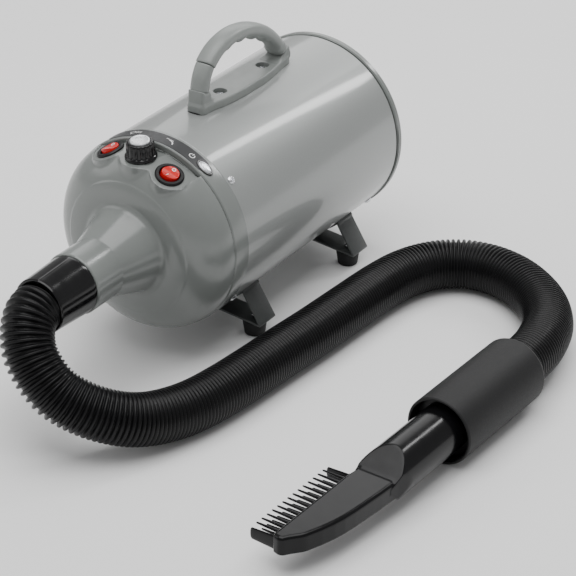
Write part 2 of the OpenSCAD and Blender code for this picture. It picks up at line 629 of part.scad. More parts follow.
blade_plan = [[-18.4, -78], [-18.4, -87], [-19.5, -97], [-19.5, -196.6], [-18.6, -199], [-11.3, -201],
    [-6, -193.5], [0.6, -185.5], [6.1, -170.6], [9.4, -159], [11.5, -148.7], [13, -137], [14, -126.6],
    [15, -115], [15.8, -104.5], [16.8, -88], [17, -78]];
blade_in = [[-15.5, -70], [-15.5, -88], [-17, -98], [-16.8, -193], [-12, -197], [-3, -184.5],
    [2.6, -170], [8.2, -148.7], [10.8, -126.6], [12.4, -104.5], [13.4, -88], [13.4, -70]];
module nozzle_body() {
    color(black) tool() difference() {
        union() {
            difference() {
                translate([0, 48, 0]) rotate([90, 0, 0]) cylinder(h = 136, r = nozzle_r);
                // sloping cut down to the blade's top
                rotate([90, 0, 90]) translate([0, 0, -40]) linear_extrude(80)
                    polygon([[-64, nozzle_r], [-87.5, 6], [-110, 6], [-110, 40], [-64, 40]]);
                rotate([90, 0, 90]) translate([0, 0, -40]) linear_extrude(80)
                    polygon([[-74, -nozzle_r - 1], [-88.4, -9], [-110, -9], [-110, -40], [-74, -40]]);
            }
            translate([0, 0, -10]) linear_extrude(16) polygon(blade_plan);
            translate([0, 0, -10]) linear_extrude(9.5) polygon([for (q = blade_plan) [q[0] + (q[0] > -12 ? 0.9 : 0), q[1]]]);
        }
        translate([0, 49, 0]) rotate([90, 0, 0]) cylinder(h = 114, r = nozzle_r - 2.3);
        intersection() {
            translate([0, 49, 0]) rotate([90, 0, 0]) cylinder(h = 140, r = nozzle_r - 2.3);
            translate([-30, -100, -7.6]) cube([60, 60, 11.4]);
        }
        translate([0, 0, -7.6]) linear_extrude(11.4) polygon(blade_in);
        for (i = [0:teeth]) translate([-24, -98.7 - i * 6.7, -6]) cube([8, 3.4, 9]);
    }
}
module comb_teeth() {
    color(black) tool() {
        for (i = [1:teeth], z = [-9, 0.6]) translate([0, -95 - i * 6.7, z]) linear_extrude(2.4)
            polygon([[-20, -1.5], [-20, 1.5], [-28, 1.1], [-42, 0.45], [-42, -0.45], [-28, -1.1]]);
        for (v = [-95.6, -196.2]) translate([0, v, -9.4]) linear_extrude(12.4)
            polygon([[-19.5, -1.4], [-19.5, 1.4], [-42.4, 0.8], [-42.4, -0.8]]);
        difference() {
            translate([-21.4, -196.6, -9.6]) cube([1.9, 101.8, 13]);
            for (i = [0:teeth]) translate([-24, -98.7 - i * 6.7, -6]) cube([8, 3.4, 6]);
        }
    }
}

barrel_shell();
front_ring();
front_cap();
rear_frame();
rear_cover();
filter_foam();
cord_gland();
barrel_liner();
outlet_grille();
label_strip();
status_lens();
switch_body_left();
switch_body_right();
rocker_left();
rocker_right();
speed_knob();
knob_cap();
potentiometer();
pot_shaft();
handle_base();
handle_front_leg();
handle_grip();
handle_screws();
front_bracket();
rear_bracket();
bracket_screws();
rubber_feet();
foot_screws();
shell_screws();
baffle();
mount_ring();
fan_case();
motor_can();
stator();
field_coils();
motor_bearings();
brush_holders();
carbon_brushes();
rotor_shaft();
commutator();
armature();
impeller();
fan_nut();
motor_spider();
nose_ring();
heater_sleeve();
heater_frame();
heater_coil();
thermal_cutout();
control_board();
board_posts();
heatsink();
terminal_block();
wiring();
hose_cuff();
hose();
grip_sleeve();
swivel_collar();
nozzle_body();
comb_teeth();
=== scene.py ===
import bpy
import math
import numpy as np
from mathutils import Vector, Matrix


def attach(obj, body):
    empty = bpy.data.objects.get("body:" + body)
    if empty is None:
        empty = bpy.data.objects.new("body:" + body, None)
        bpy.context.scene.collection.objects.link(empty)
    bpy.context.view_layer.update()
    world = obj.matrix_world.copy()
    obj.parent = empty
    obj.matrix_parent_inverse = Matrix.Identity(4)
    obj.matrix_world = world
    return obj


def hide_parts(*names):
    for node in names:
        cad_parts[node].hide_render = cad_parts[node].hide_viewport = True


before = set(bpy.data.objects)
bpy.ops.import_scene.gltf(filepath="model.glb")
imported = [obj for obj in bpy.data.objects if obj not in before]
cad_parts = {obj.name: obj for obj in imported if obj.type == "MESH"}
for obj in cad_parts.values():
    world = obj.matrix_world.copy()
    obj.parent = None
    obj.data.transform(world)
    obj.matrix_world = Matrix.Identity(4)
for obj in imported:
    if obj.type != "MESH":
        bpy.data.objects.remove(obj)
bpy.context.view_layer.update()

MM = 0.001
rng = np.random.RandomState(7)

# ------------------------------------------------------------------ camera
cam_data = bpy.data.cameras.new("cam")
cam = bpy.data.objects.new("cam", cam_data)
bpy.context.scene.collection.objects.link(cam)
cam_data.lens = 150.0
cam_data.sensor_width = 36.0
cam_data.clip_start = 0.05
cam_data.clip_end = 50.0
cam.location = (1.0944, -1.5311, 1.0702)
cam.rotation_mode = "QUATERNION"
cam.rotation_quaternion = (-Vector((0.4802, -0.7285, 0.4887))).to_track_quat("-Z", "Y")
bpy.context.scene.camera = cam


# ------------------------------------------------------------------ materials
def _mat(name):
    m = bpy.data.materials.new(name)
    m.use_nodes = True
    nt = m.node_tree
    nt.nodes.clear()
    out = nt.nodes.new("ShaderNodeOutputMaterial")
    b = nt.nodes.new("ShaderNodeBsdfPrincipled")
    nt.links.new(b.outputs["BSDF"], out.inputs["Surface"])
    return m, nt, b


def _noise(nt, scale, detail=3.0, rough=0.55, stretch=None):
    tc = nt.nodes.new("ShaderNodeTexCoord")
    n = nt.nodes.new("ShaderNodeTexNoise")
    n.inputs["Scale"].default_value = scale
    n.inputs["Detail"].default_value = detail
    n.inputs["Roughness"].default_value = rough
    if stretch:
        mp = nt.nodes.new("ShaderNodeMapping")
        mp.inputs["Scale"].default_value = stretch
        nt.links.new(tc.outputs["Object"], mp.inputs["Vector"])
        nt.links.new(mp.outputs["Vector"], n.inputs["Vector"])
    else:
        nt.links.new(tc.outputs["Object"], n.inputs["Vector"])
    return n


def _range(nt, src, a, b):
    r = nt.nodes.new("ShaderNodeMapRange")
    r.inputs["From Min"].default_value = 0.3
    r.inputs["From Max"].default_value = 0.7
    r.inputs["To Min"].default_value = a
    r.inputs["To Max"].default_value = b
    nt.links.new(src, r.inputs["Value"])
    return r.outputs["Result"]


def _mix(nt, src, c1, c2):
    m = nt.nodes.new("ShaderNodeMix")
    m.data_type = "RGBA"
    m.inputs[6].default_value = (*c1, 1)
    m.inputs[7].default_value = (*c2, 1)
    nt.links.new(src, m.inputs[0])
    return m.outputs[2]


def material(name, c, dc=0.06, rough=0.4, dr=0.05, metal=0.0, spec=0.5, coat=0.0, coat_rough=0.1,
             scale=60.0, bump=0.0, bump_scale=900.0, stretch=None, ior=1.5, transmission=0.0, aniso=0.0):
    m, nt, b = _mat(name)
    n = _noise(nt, scale, 4.0, 0.6, stretch)
    f = _range(nt, n.outputs["Fac"], 0.0, 1.0)
    lo = tuple(max(0.0, v * (1 - dc)) for v in c)
    hi = tuple(min(1.0, v * (1 + dc)) for v in c)
    nt.links.new(_mix(nt, f, lo, hi), b.inputs["Base Color"])
    n2 = _noise(nt, scale * 3.1, 3.0, 0.5, stretch)
    nt.links.new(_range(nt, n2.outputs["Fac"], max(0.02, rough - dr), min(1.0, rough + dr)), b.inputs["Roughness"])
    b.inputs["Metallic"].default_value = metal
    b.inputs["Specular IOR Level"].default_value = spec
    b.inputs["IOR"].default_value = ior
    b.inputs["Coat Weight"].default_value = coat
    b.inputs["Coat Roughness"].default_value = coat_rough
    b.inputs["Transmission Weight"].default_value = transmission
    b.inputs["Anisotropic"].default_value = aniso
    if bump > 0:
        n3 = _noise(nt, bump_scale, 3.0, 0.6)
        bp = nt.nodes.new("ShaderNodeBump")
        bp.inputs["Strength"].default_value = bump
        bp.inputs["Distance"].default_value = 0.0004
        nt.links.new(n3.outputs["Fac"], bp.inputs["Height"])
        nt.links.new(bp.outputs["Normal"], b.inputs["Normal"])
    m.diffuse_color = (*c, 1)
    return m


M = {
    "grey": material("grey_abs", (0.185, 0.198, 0.190), 0.025, 0.20, 0.03, spec=0.6, scale=25, bump=0.05, bump_scale=1400),
    "barrel": material("barrel_paint", (0.285, 0.298, 0.292), 0.03, 0.42, 0.03, metal=0.35, spec=0.5, coat=0.8,
                       coat_rough=0.10, scale=900, bump=0.04, bump_scale=2600),
    "handle": material("handle_abs", (0.225, 0.240, 0.231), 0.03, 0.33, 0.05, scale=40, bump=0.12, bump_scale=1800),
    "bracket": material("bracket_paint", (0.075, 0.08, 0.079), 0.05, 0.36, 0.06, metal=0.1, scale=300, bump=0.2, bump_scale=2200),
    "gloss": material("black_gloss", (0.004, 0.004, 0.0045), 0.2, 0.15, 0.04, spec=0.38, scale=35, bump=0.03, bump_scale=900),
    "nozzle": material("nozzle_black", (0.004, 0.004, 0.0045), 0.2, 0.17, 0.03, spec=0.24, scale=35, bump=0.05, bump_scale=1300),
    "satin": material("black_satin", (0.007, 0.007, 0.0075), 0.2, 0.40, 0.07, spec=0.3, scale=45, bump=0.12, bump_scale=1500),
    "hose": material("hose_black", (0.0035, 0.0035, 0.004), 0.2, 0.33, 0.05, spec=0.22, scale=70, bump=0.06, bump_scale=1500),
    "rubber": material("rubber_black", (0.0075, 0.0075, 0.008), 0.06, 0.58, 0.03, spec=0.34, scale=160, bump=0.25, bump_scale=2000),
    "red": material("red_gloss", (0.60, 0.012, 0.010), 0.08, 0.25, 0.05, spec=0.35, coat=0.1, scale=80, bump=0.03),
    "chrome": material("chrome_zinc", (0.72, 0.73, 0.75), 0.05, 0.17, 0.05, metal=1.0, scale=400),
    "silver": material("silver_cap", (0.80, 0.81, 0.83), 0.03, 0.30, 0.05, metal=0.55, scale=200, bump=0.04),
    "film": material("label_film", (0.020, 0.0205, 0.022), 0.12, 0.40, 0.05, spec=0.4, scale=120, bump=0.05),
    "white": material("print_white", (0.80, 0.80, 0.80), 0.03, 0.45, 0.05, scale=300),
    "lens": material("lens_silver", (0.62, 0.64, 0.66), 0.25, 0.16, 0.08, metal=0.5, spec=0.7, coat=0.6, scale=220, bump=0.3, bump_scale=700),
    "foam": material("filter_foam", (0.016, 0.016, 0.018), 0.5, 0.95, 0.04, spec=0.1, scale=700, bump=1.0, bump_scale=900),
    "steel": material("steel_plate", (0.55, 0.56, 0.58), 0.06, 0.33, 0.08, metal=1.0, scale=120, stretch=(1, 9, 1)),
    "copper": material("copper_wire", (0.78, 0.33, 0.12), 0.12, 0.32, 0.08, metal=1.0, scale=900, stretch=(1, 12, 1)),
    "brass": material("brass", (0.72, 0.50, 0.17), 0.08, 0.3, 0.06, metal=1.0, scale=200),
    "carbon": material("carbon", (0.02, 0.02, 0.021), 0.3, 0.6, 0.1, scale=300, bump=0.2),
    "mica": material("mica_board", (0.55, 0.46, 0.30), 0.18, 0.5, 0.1, scale=90, bump=0.15),
    "board": material("circuit_board", (0.015, 0.11, 0.04), 0.2, 0.35, 0.08, coat=0.3, scale=160),
    "nylon": material("nylon_white", (0.72, 0.71, 0.66), 0.04, 0.42, 0.06, scale=90, bump=0.05),
    "wire": material("wire_red", (0.45, 0.02, 0.015), 0.1, 0.45, 0.06, scale=90),
    "alu": material("cast_aluminium", (0.60, 0.61, 0.63), 0.07, 0.4, 0.1, metal=1.0, scale=260, bump=0.2),
}


# ------------------------------------------------------------------ mesh helpers (all in mm)
def make(name, verts, faces, mat, body, normals=None, smooth=True, flat_angle=None):
    me = bpy.data.meshes.new(name)
    v = np.asarray(verts, dtype=float) * MM
    me.from_pydata([tuple(q) for q in v.tolist()], [], faces)
    me.validate(verbose=False)
    if smooth:
        me.polygons.foreach_set("use_smooth", [True] * len(me.polygons))
    if normals is not None and len(me.vertices) == len(normals):
        me.normals_split_custom_set_from_vertices([tuple(n) for n in np.asarray(normals).tolist()])
    elif smooth and flat_angle:
        me.set_sharp_from_angle(angle=math.radians(flat_angle))
    me.update()
    ob = bpy.data.objects.new(name, me)
    bpy.context.scene.collection.objects.link(ob)
    if mat is not None:
        me.materials.append(M[mat] if isinstance(mat, str) else mat)
    if body:
        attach(ob, body)
    return ob


def rounded(pts, r, n=4):
    """Rounds the corners of an open polyline; r is one radius or one per point."""
    out = []
    pts = [np.array(p, float) for p in pts]
    for i, p in enumerate(pts):
        ri = r[i] if isinstance(r, (list, tuple)) else r
        if i == 0 or i == len(pts) - 1 or ri <= 0:
            out.append(p)
            continue
        a, b = pts[i - 1] - p, pts[i + 1] - p
        la, lb = np.linalg.norm(a), np.linalg.norm(b)
        if la < 1e-6 or lb < 1e-6:
            out.append(p)
            continue
        a, b = a / la, b / lb
        cosv = float(np.clip(np.dot(a, b), -1, 1))
        if cosv < -0.9998:
            out.append(p)
            continue
        half = math.acos(cosv) / 2
        t = min(ri / math.tan(half), la * 0.48, lb * 0.48)
        rr = t * math.tan(half)
        c = p + (a + b) / np.linalg.norm(a + b) * (rr / math.sin(half))
        s, e_ = p + a * t - c, p + b * t - c
        ang = math.acos(float(np.clip(np.dot(s, e_) / (rr * rr + 1e-12), -1, 1)))
        for k in range(n + 1):
            f = k / n
            if ang < 1e-4:
                v = s * (1 - f) + e_ * f
            else:
                v = (math.sin((1 - f) * ang) * s + math.sin(f * ang) * e_) / math.sin(ang)
            out.append(c + v)
    return out


def grid_faces(m, n, close_u=True, flip=False):
    f = []
    for i in range(m - 1):
        for j in range(n if close_u else n - 1):
            a, b = i * n + j, i * n + (j + 1) % n
            c, d = (i + 1) * n + (j + 1) % n, (i + 1) * n + j
            f.append((d, c, b, a) if flip else (a, b, c, d))
    return f


def lathe(prof, n=96, fr=None):
    """Closed or open profile of (r, z) about local Z. Returns verts, faces."""
    verts, faces, rows = [], [], []
    for r, z in prof:
        if r < 1e-4:
            rows.append([len(verts)])
            verts.append((0, 0, z))
        else:
            base = len(verts)
            a = np.arange(n) * 2 * math.pi / n
            verts.extend(zip((r * np.cos(a)).tolist(), (r * np.sin(a)).tolist(), [z] * n))
            rows.append(list(range(base, base + n)))
    for p, q in zip(rows[:-1], rows[1:]):
        if len(p) == 1 and len(q) == 1:
            continue
        for j in range(n):
            k = (j + 1) % n
            if len(p) == 1:
                faces.append((p[0], q[k], q[j]))
            elif len(q) == 1:
                faces.append((p[j], p[k], q[0]))
            else:
                faces.append((p[j], p[k], q[k], q[j]))
    return verts, faces


def put(verts, F):
    v = np.asarray(verts, float)
    return v @ F[:3, :3].T + F[:3, 3]


def T(x, y, z):
    m = np.eye(4)
    m[:3, 3] = (x, y, z)
    return m


def RX(d):
    c, s = math.cos(math.radians(d)), math.sin(math.radians(d))
    m = np.eye(4)
    m[1:3, 1:3] = [[c, -s], [s, c]]
    return m


def RY(d):
    c, s = math.cos(math.radians(d)), math.sin(math.radians(d))
    m = np.eye(4)
    m[0, 0], m[0, 2], m[2, 0], m[2, 2] = c, s, -s, c
    return m


def RZ(d):
    c, s = math.cos(math.radians(d)), math.sin(math.radians(d))
    m = np.eye(4)
    m[0:2, 0:2] = [[c, -s], [s, c]]
    return m


AXIS_H = 110.0
AY = T(0, 0, AXIS_H) @ RX(-90)          # local +Z runs along +Y on the barrel's axis
ROLL = 21.0


def panel(s):
    if s == 0:
        return T(2, -96.3, 187.6) @ RX(4)
    if s < 0:
        return T(-31.5, -94.2, 184.0) @ RY(-ROLL) @ RX(9)
    return T(32.6, -98.8, 180.0) @ RY(ROLL) @ RX(9)


TOOL = T(302.5, -111, 30) @ RZ(-2.3)
TY = TOOL @ RX(-90)


def radial(a, r, y):
    return T(0, y, AXIS_H) @ RY(a) @ T(0, 0, r)


def lathe_obj(name, prof, F, mat, body, n=96, r=0.5, seg=3, closed=False, angle=40):
    p = rounded(prof, r, seg) if r is not None else [np.array(q, float) for q in prof]
    v, f = lathe([tuple(q) for q in p], n)
    return make(name, put(v, F), f, mat, body, flat_angle=angle)


def join(parts):
    V, Fc, k = [], [], 0
    for v, f in parts:
        v = np.asarray(v, float)
        V.append(v)
        Fc.extend([tuple(i + k for i in q) for q in f])
        k += len(v)
    return np.vstack(V), Fc


def fix_normals(ob):
    import bmesh
    bm = bmesh.new()
    bm.from_mesh(ob.data)
    bmesh.ops.recalc_face_normals(bm, faces=bm.faces)
    bm.to_mesh(ob.data)
    bm.free()
    ob.data.update()


# ------------------------------------------------------------------ distance fields
def rmax(a, b, r):
    return np.minimum(-r, np.maximum(a, b)) + np.hypot(np.maximum(a + r, 0), np.maximum(b + r, 0))


def rmin(a, b, r):
    return np.maximum(r, np.minimum(a, b)) - np.hypot(np.maximum(r - a, 0), np.maximum(r - b, 0))


def poly_sdf(x, y, P):
    P = np.asarray(P, float)
    d = np.full(x.shape, 1e9)
    s = np.ones(x.shape)
    n = len(P)
    j = n - 1
    for i in range(n):
        ex, ey = P[j][0] - P[i][0], P[j][1] - P[i][1]
        wx, wy = x - P[i][0], y - P[i][1]
        t = np.clip((wx * ex + wy * ey) / (ex * ex + ey * ey + 1e-12), 0, 1)
        bx, by = wx - ex * t, wy - ey * t
        d = np.minimum(d, bx * bx + by * by)
        c1, c2, c3 = y >= P[i][1], y < P[j][1], ex * wy > ey * wx
        s = np.where((c1 & c2 & c3) | (~c1 & ~c2 & ~c3), -s, s)
        j = i
    return s * np.sqrt(d)


class Table2:
    """A polygon's distance on a fine 2-D grid, sampled bilinearly."""
    def __init__(self, P, x0, x1, y0, y1, h):
        self.x0, self.y0, self.h = x0, y0, h
        xs, ys = np.arange(x0, x1 + h, h), np.arange(y0, y1 + h, h)
        X, Y = np.meshgrid(xs, ys, indexing="ij")
        self.g = poly_sdf(X, Y, P)

    def __call__(self, x, y):
        u, v = (x - self.x0) / self.h, (y - self.y0) / self.h
        g = self.g
        i = np.clip(u.astype(int), 0, g.shape[0] - 2)
        j = np.clip(v.astype(int), 0, g.shape[1] - 2)
        fu, fv = np.clip(u - i, 0, 1), np.clip(v - j, 0, 1)
        return (g[i, j] * (1 - fu) * (1 - fv) + g[i + 1, j] * fu * (1 - fv)
                + g[i, j + 1] * (1 - fu) * fv + g[i + 1, j + 1] * fu * fv)


def surface(f, lo, hi, h, steps=3):
    """Surface nets on a regular grid, then Newton steps onto the surface. Returns verts, quads, normals."""
    lo, hi = np.array(lo, float), np.array(hi, float)
    n = np.ceil((hi - lo) / h).astype(int) + 1
    ax = [lo[k] + h * np.arange(n[k]) for k in range(3)]
    D = np.empty(tuple(n))
    step = max(1, int(600000 / (n[1] * n[2])))
    for i in range(0, n[0], step):
        X, Y, Z = np.meshgrid(ax[0][i:i + step], ax[1], ax[2], indexing="ij")
        D[i:i + step] = f(X, Y, Z)
    S = D < 0
    # cells whose corners differ
    C = S[:-1, :-1, :-1].astype(int)
    for a, b, c in ((1, 0, 0), (0, 1, 0), (1, 1, 0), (0, 0, 1), (1, 0, 1), (0, 1, 1), (1, 1, 1)):
        C = C + S[a:n[0] - 1 + a, b:n[1] - 1 + b, c:n[2] - 1 + c]
    cells = np.argwhere((C > 0) & (C < 8))
    idx = -np.ones((n[0] - 1, n[1] - 1, n[2] - 1), int)
    idx[tuple(cells.T)] = np.arange(len(cells))
    acc = np.zeros((len(cells), 3))
    cnt = np.zeros(len(cells))
    for axis in range(3):
        o1, o2 = [k for k in range(3) if k != axis]
        for p in (0, 1):
            for q in (0, 1):
                a = cells.copy()
                a[:, o1] += p
                a[:, o2] += q
                b = a.copy()
                b[:, axis] += 1
                da, db = D[tuple(a.T)], D[tuple(b.T)]
                m = (da < 0) != (db < 0)
                t = np.where(m, da / np.where(m, da - db, 1), 0)
                pos = a.astype(float)
                pos[:, axis] += t
                acc[m] += pos[m]
                cnt[m] += 1
    V = lo + h * acc / cnt[:, None]
    faces = []
    for axis in range(3):
        o1, o2 = [(1, 2), (2, 0), (0, 1)][axis]
        sl0 = [slice(None)] * 3
        sl1 = [slice(None)] * 3
        sl0[axis] = slice(0, n[axis] - 1)
        sl1[axis] = slice(1, n[axis])
        A, B = S[tuple(sl0)], S[tuple(sl1)]
        E = np.argwhere(A != B)
        E = E[(E[:, o1] > 0) & (E[:, o2] > 0) & (E[:, o1] < n[o1] - 1) & (E[:, o2] < n[o2] - 1)]
        ins = A[tuple(E.T)]
        c = []
        for p, q in ((0, 0), (1, 0), (1, 1), (0, 1)):
            g = E.copy()
            g[:, o1] -= 1 - p
            g[:, o2] -= 1 - q
            c.append(idx[tuple(g.T)])
        Q = np.stack(c, 1)
        Q[~ins] = Q[~ins][:, ::-1]
        faces.append(Q)
    Fq = np.vstack(faces)

    def grad(P, e=0.12):
        g = np.empty_like(P)
        for k in range(3):
            d = np.zeros(3)
            d[k] = e
            a, b = P + d, P - d
            g[:, k] = f(a[:, 0], a[:, 1], a[:, 2]) - f(b[:, 0], b[:, 1], b[:, 2])
        return g / (2 * e)

    for _ in range(steps):
        g = grad(V)
        d = f(V[:, 0], V[:, 1], V[:, 2])
        L = np.maximum((g * g).sum(1), 0.05)
        mv = -(d / L)[:, None] * g
        l = np.linalg.norm(mv, axis=1, keepdims=True)
        V = V + mv * np.minimum(1, 0.5 * h / np.maximum(l, 1e-9))
    g = grad(V, 0.2)
    N = g / np.maximum(np.linalg.norm(g, axis=1, keepdims=True), 1e-9)
    return V, [tuple(q) for q in Fq.tolist()], N


def local(F, X, Y, Z):
    R, t = F[:3, :3], F[:3, 3]
    x, y, z = X - t[0], Y - t[1], Z - t[2]
    return (R[0, 0] * x + R[1, 0] * y + R[2, 0] * z,
            R[0, 1] * x + R[1, 1] * y + R[2, 1] * z,
            R[0, 2] * x + R[1, 2] * y + R[2, 2] * z)


# ------------------------------------------------------------------ hose: the free cord comes first
HOSE_PTS = [
    (0, -237, 110), (1.2, -248.6, 107.4), (5.8, -259.4, 98.2), (13.8, -267, 85.6),
    (26.1, -269.8, 71.5), (40.2, -268.7, 58.7), (55.5, -262, 48.3), (70.6, -251.3, 39.5),
    (84.5, -237.1, 32.5), (94.7, -220, 27.4), (103, -198.9, 24.2), (110, -174.9, 22.8),
    (115.1, -145.2, 22.6), (118.7, -110.1, 22.6), (122.2, -65, 22.6), (126, -20, 22.6),
    (129, 30, 22.6), (132, 75, 22.6), (138, 110, 22.6), (151, 137, 22.6),
    (172, 155, 22.6), (198, 161, 22.6), (226, 156, 22.8), (252, 142, 23.2),
    (275, 121, 24.2), (293, 93, 26), (303, 63, 28.2), (307, 38, 29.6),
    (307.3, 7.9, 30)]


def catmull(P, n):
    P = [np.array(p, float) for p in P]
    out = []
    for i in range(len(P) - 1):
        p0, p1, p2, p3 = P[max(i - 1, 0)], P[i], P[i + 1], P[min(i + 2, len(P) - 1)]
        for k in range(n):
            t = k / n
            out.append(0.5 * (2 * p1 + (p2 - p0) * t + (2 * p0 - 5 * p1 + 4 * p2 - p3) * t * t
                              + (3 * p1 - p0 - 3 * p2 + p3) * t ** 3))
    out.append(P[-1])
    return np.array(out)


dense = catmull(HOSE_PTS, 40)
seglen = np.linalg.norm(np.diff(dense, axis=0), axis=1)
arc = np.concatenate([[0], np.cumsum(seglen)])
total = arc[-1]
# the far end goes on inside the grip sleeve
PITCH_S = [0, 12, 30, 75, 85, 105, 120, 140, 160, 250, 300, 450, 500, 530, 600, 680, 720, 760, 820]
PITCH_V = [4.0, 4.4, 5.2, 5.4, 4.8, 4.4, 4.2, 3.8, 3.45, 3.4, 3.2, 3.15, 3.7, 4.1, 4.4, 4.2, 3.6, 3.35, 3.3]
ss = np.linspace(0, total, 6000)
ph = np.concatenate([[0], np.cumsum(np.diff(ss) / np.interp(0.5 * (ss[1:] + ss[:-1]), PITCH_S, PITCH_V))])
turns = ph[-1]
NR = 9
NA = 72
nrow = int(turns * NR)
phase = np.linspace(0, turns, nrow)
srow = np.interp(phase, ph, ss)
cen = np.stack([np.interp(srow, arc, dense[:, k]) for k in range(3)], 1)
tan = np.gradient(cen, axis=0)
ker = np.hanning(61)
ker /= ker.sum()
pad = np.vstack([np.repeat(tan[:1], 30, 0), tan, np.repeat(tan[-1:], 30, 0)])
tan = np.stack([np.convolve(pad[:, k], ker, mode="valid") for k in range(3)], 1)
tan /= np.linalg.norm(tan, axis=1, keepdims=True)
side = np.zeros_like(tan)
side[0] = np.cross(tan[0], (0, 0, 1.0))
side[0] /= np.linalg.norm(side[0])
for i in range(1, nrow):
    v = side[i - 1] - tan[i] * np.dot(side[i - 1], tan[i])
    side[i] = v / np.linalg.norm(v)
upv = np.cross(side, tan)
ang = np.arange(NA) * 2 * math.pi / NA
# rounded narrow ridges with wider valleys; one thread winding along the hose
rel = (phase[:, None] - ang[None, :] / (2 * math.pi)) % 1.0
pit = np.interp(srow, PITCH_S, PITCH_V)[:, None]
x = np.abs(rel - 0.5) * pit                     # distance to the ridge's crown
half = 1.45
ridge = np.sqrt(np.clip(1 - (x / half) ** 2, 0, 1)) ** 0.8
endf = np.clip(np.minimum(srow / 5.0, (total - srow) / 5.0), 0, 1)[:, None]
ca, sa = np.cos(ang), np.sin(ang)
curv = np.gradient(tan, srow, axis=0)
curv = np.stack([np.convolve(np.pad(curv[:, k], 45, mode="edge"), np.hanning(91) / np.hanning(91).sum(), mode="valid") for k in range(3)], 1)
inward = (curv * side).sum(1)[:, None] * ca[None, :] + (curv * upv).sum(1)[:, None] * sa[None, :]
openp = pit * (1 - 22.0 * inward)
gap = np.clip((openp - 2.9) / 2.6, 0, 1)
depth = 1.05 + 2.3 * gap
rad = 22.5 - depth * (1 - ridge) * (0.25 + 0.75 * endf)
hv = cen[:, None, :] + rad[..., None] * (ca[None, :, None] * side[:, None, :] + sa[None, :, None] * upv[:, None, :])
hv = hv.reshape(-1, 3)
hf = grid_faces(nrow, NA, flip=True)
cap_a, cap_b = len(hv), len(hv) + 1
hv = np.vstack([hv, cen[0], cen[-1]])
hf += [(cap_a, j, (j + 1) % NA) for j in range(NA)]
hf += [(cap_b, (nrow - 1) * NA + (j + 1) % NA, (nrow - 1) * NA + j) for j in range(NA)]
hose = make("ribbed_hose", hv, hf, "hose", "hose_assembly")
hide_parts("hose")

# cuff with faint mould lines along it
cuff_prof = rounded([(21.5, -171), (24.8, -171), (25.1, -171.6), (25.1, -192.5), (26.2, -192.9), (26.1, -196.0), (25.7, -205),
                     (24.9, -222), (24.5, -232), (24.4, -235.6), (23.7, -237), (21.5, -237), (21.5, -171)], 0.5, 3)
cv, cf = lathe([(p[0], p[1]) for p in cuff_prof], 144)
cv = np.array(cv)
ra = np.hypot(cv[:, 0], cv[:, 1])
an = np.degrees(np.arctan2(cv[:, 1], cv[:, 0])) % 60
bumpl = 0.22 * np.exp(-((an - 30) / 1.7) ** 2) * ((cv[:, 2] < -194) & (ra > 23.5))
cv[:, :2] *= (1 + bumpl / np.maximum(ra, 1))[:, None]
cuff = make("hose_cuff_visual", put(cv, AY), cf, "gloss", "hose_assembly", flat_angle=45)
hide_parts("hose_cuff")

grip = lathe_obj("grip_sleeve_visual", [
    (27.4, 18), (27.4, 0.6), (28.0, 0), (29.2, 0), (30, 1.4), (30.05, 30), (30.0, 90), (29.9, 116), (28.4, 119), (22.9, 119), (22.4, 118),
    (21.5, 111), (21.5, 62), (25.2, 60), (25.2, 18), (27.4, 18)], TY, "rubber", "hose_assembly", n=128, r=0.9)
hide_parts("grip_sleeve")
collar = lathe_obj("swivel_collar_visual", [
    (21.4, 12), (26.6, 12), (27, 12.6), (27, 17.6), (25.1, 17.6), (25.1, 55), (21.4, 55), (21.4, 12)], TY, "satin", "collar",
    n=96, r=0.4)
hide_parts("swivel_collar")

# ------------------------------------------------------------------ barrel and front ring
lathe_obj("barrel_visual", [(84.8, -61.8), (85.4, -61.8), (86, -61.0), (86, 179.2), (85.4, 180.0), (84.8, 180.0), (84.8, -61.8)],
          AY, "barrel", "dryer", n=256, r=0.4, angle=50)
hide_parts("barrel_shell")
lathe_obj("front_ring_visual", [(81.6, -44), (81.6, -81.6), (85.8, -81.6), (87, -80.4), (87, -62.9), (86.2, -62.1), (84.0, -62.1), (83.7, -61.6), (83.6, -44), (81.6, -44)],
          AY, "grey", "dryer", n=256, r=0.7, angle=60)
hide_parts("front_ring")

# ------------------------------------------------------------------ front cap
GY = -82.2
dome = [(44 + 42.4 * math.cos(t), GY - 37.5 * math.sin(t)) for t in np.radians(np.linspace(0, 90, 240))]
fil = [(44 - 7 * math.sin(a), -119.7 - 7 + 7 * math.cos(a)) for a in np.radians(np.linspace(1, 72.5, 40))]
outer_poly = [(-5, GY + 30), (86.4, GY + 30)] + dome + fil + [(26.9, -159.2), (26.9, -163), (26.9, -191.4), (26.3, -192), (-5, -192)]
inner_poly = [(-5, GY + 34), (83.6, GY + 34)] + [(44.5 + 39.1 * math.cos(t), GY - 34.7 * math.sin(t)) for t in np.radians(np.linspace(0, 90, 60))] + \
    [(41, -118), (35, -121), (33, -125), (24, -158), (24, -163), (-5, -163)]
hp = 0.3
T_out = Table2(outer_poly, -4, 92, -200, -70, hp)
T_in = Table2(inner_poly, -4, 92, -200, -70, 0.6)
P0, P1, Pm = panel(0), panel(1), panel(-1)


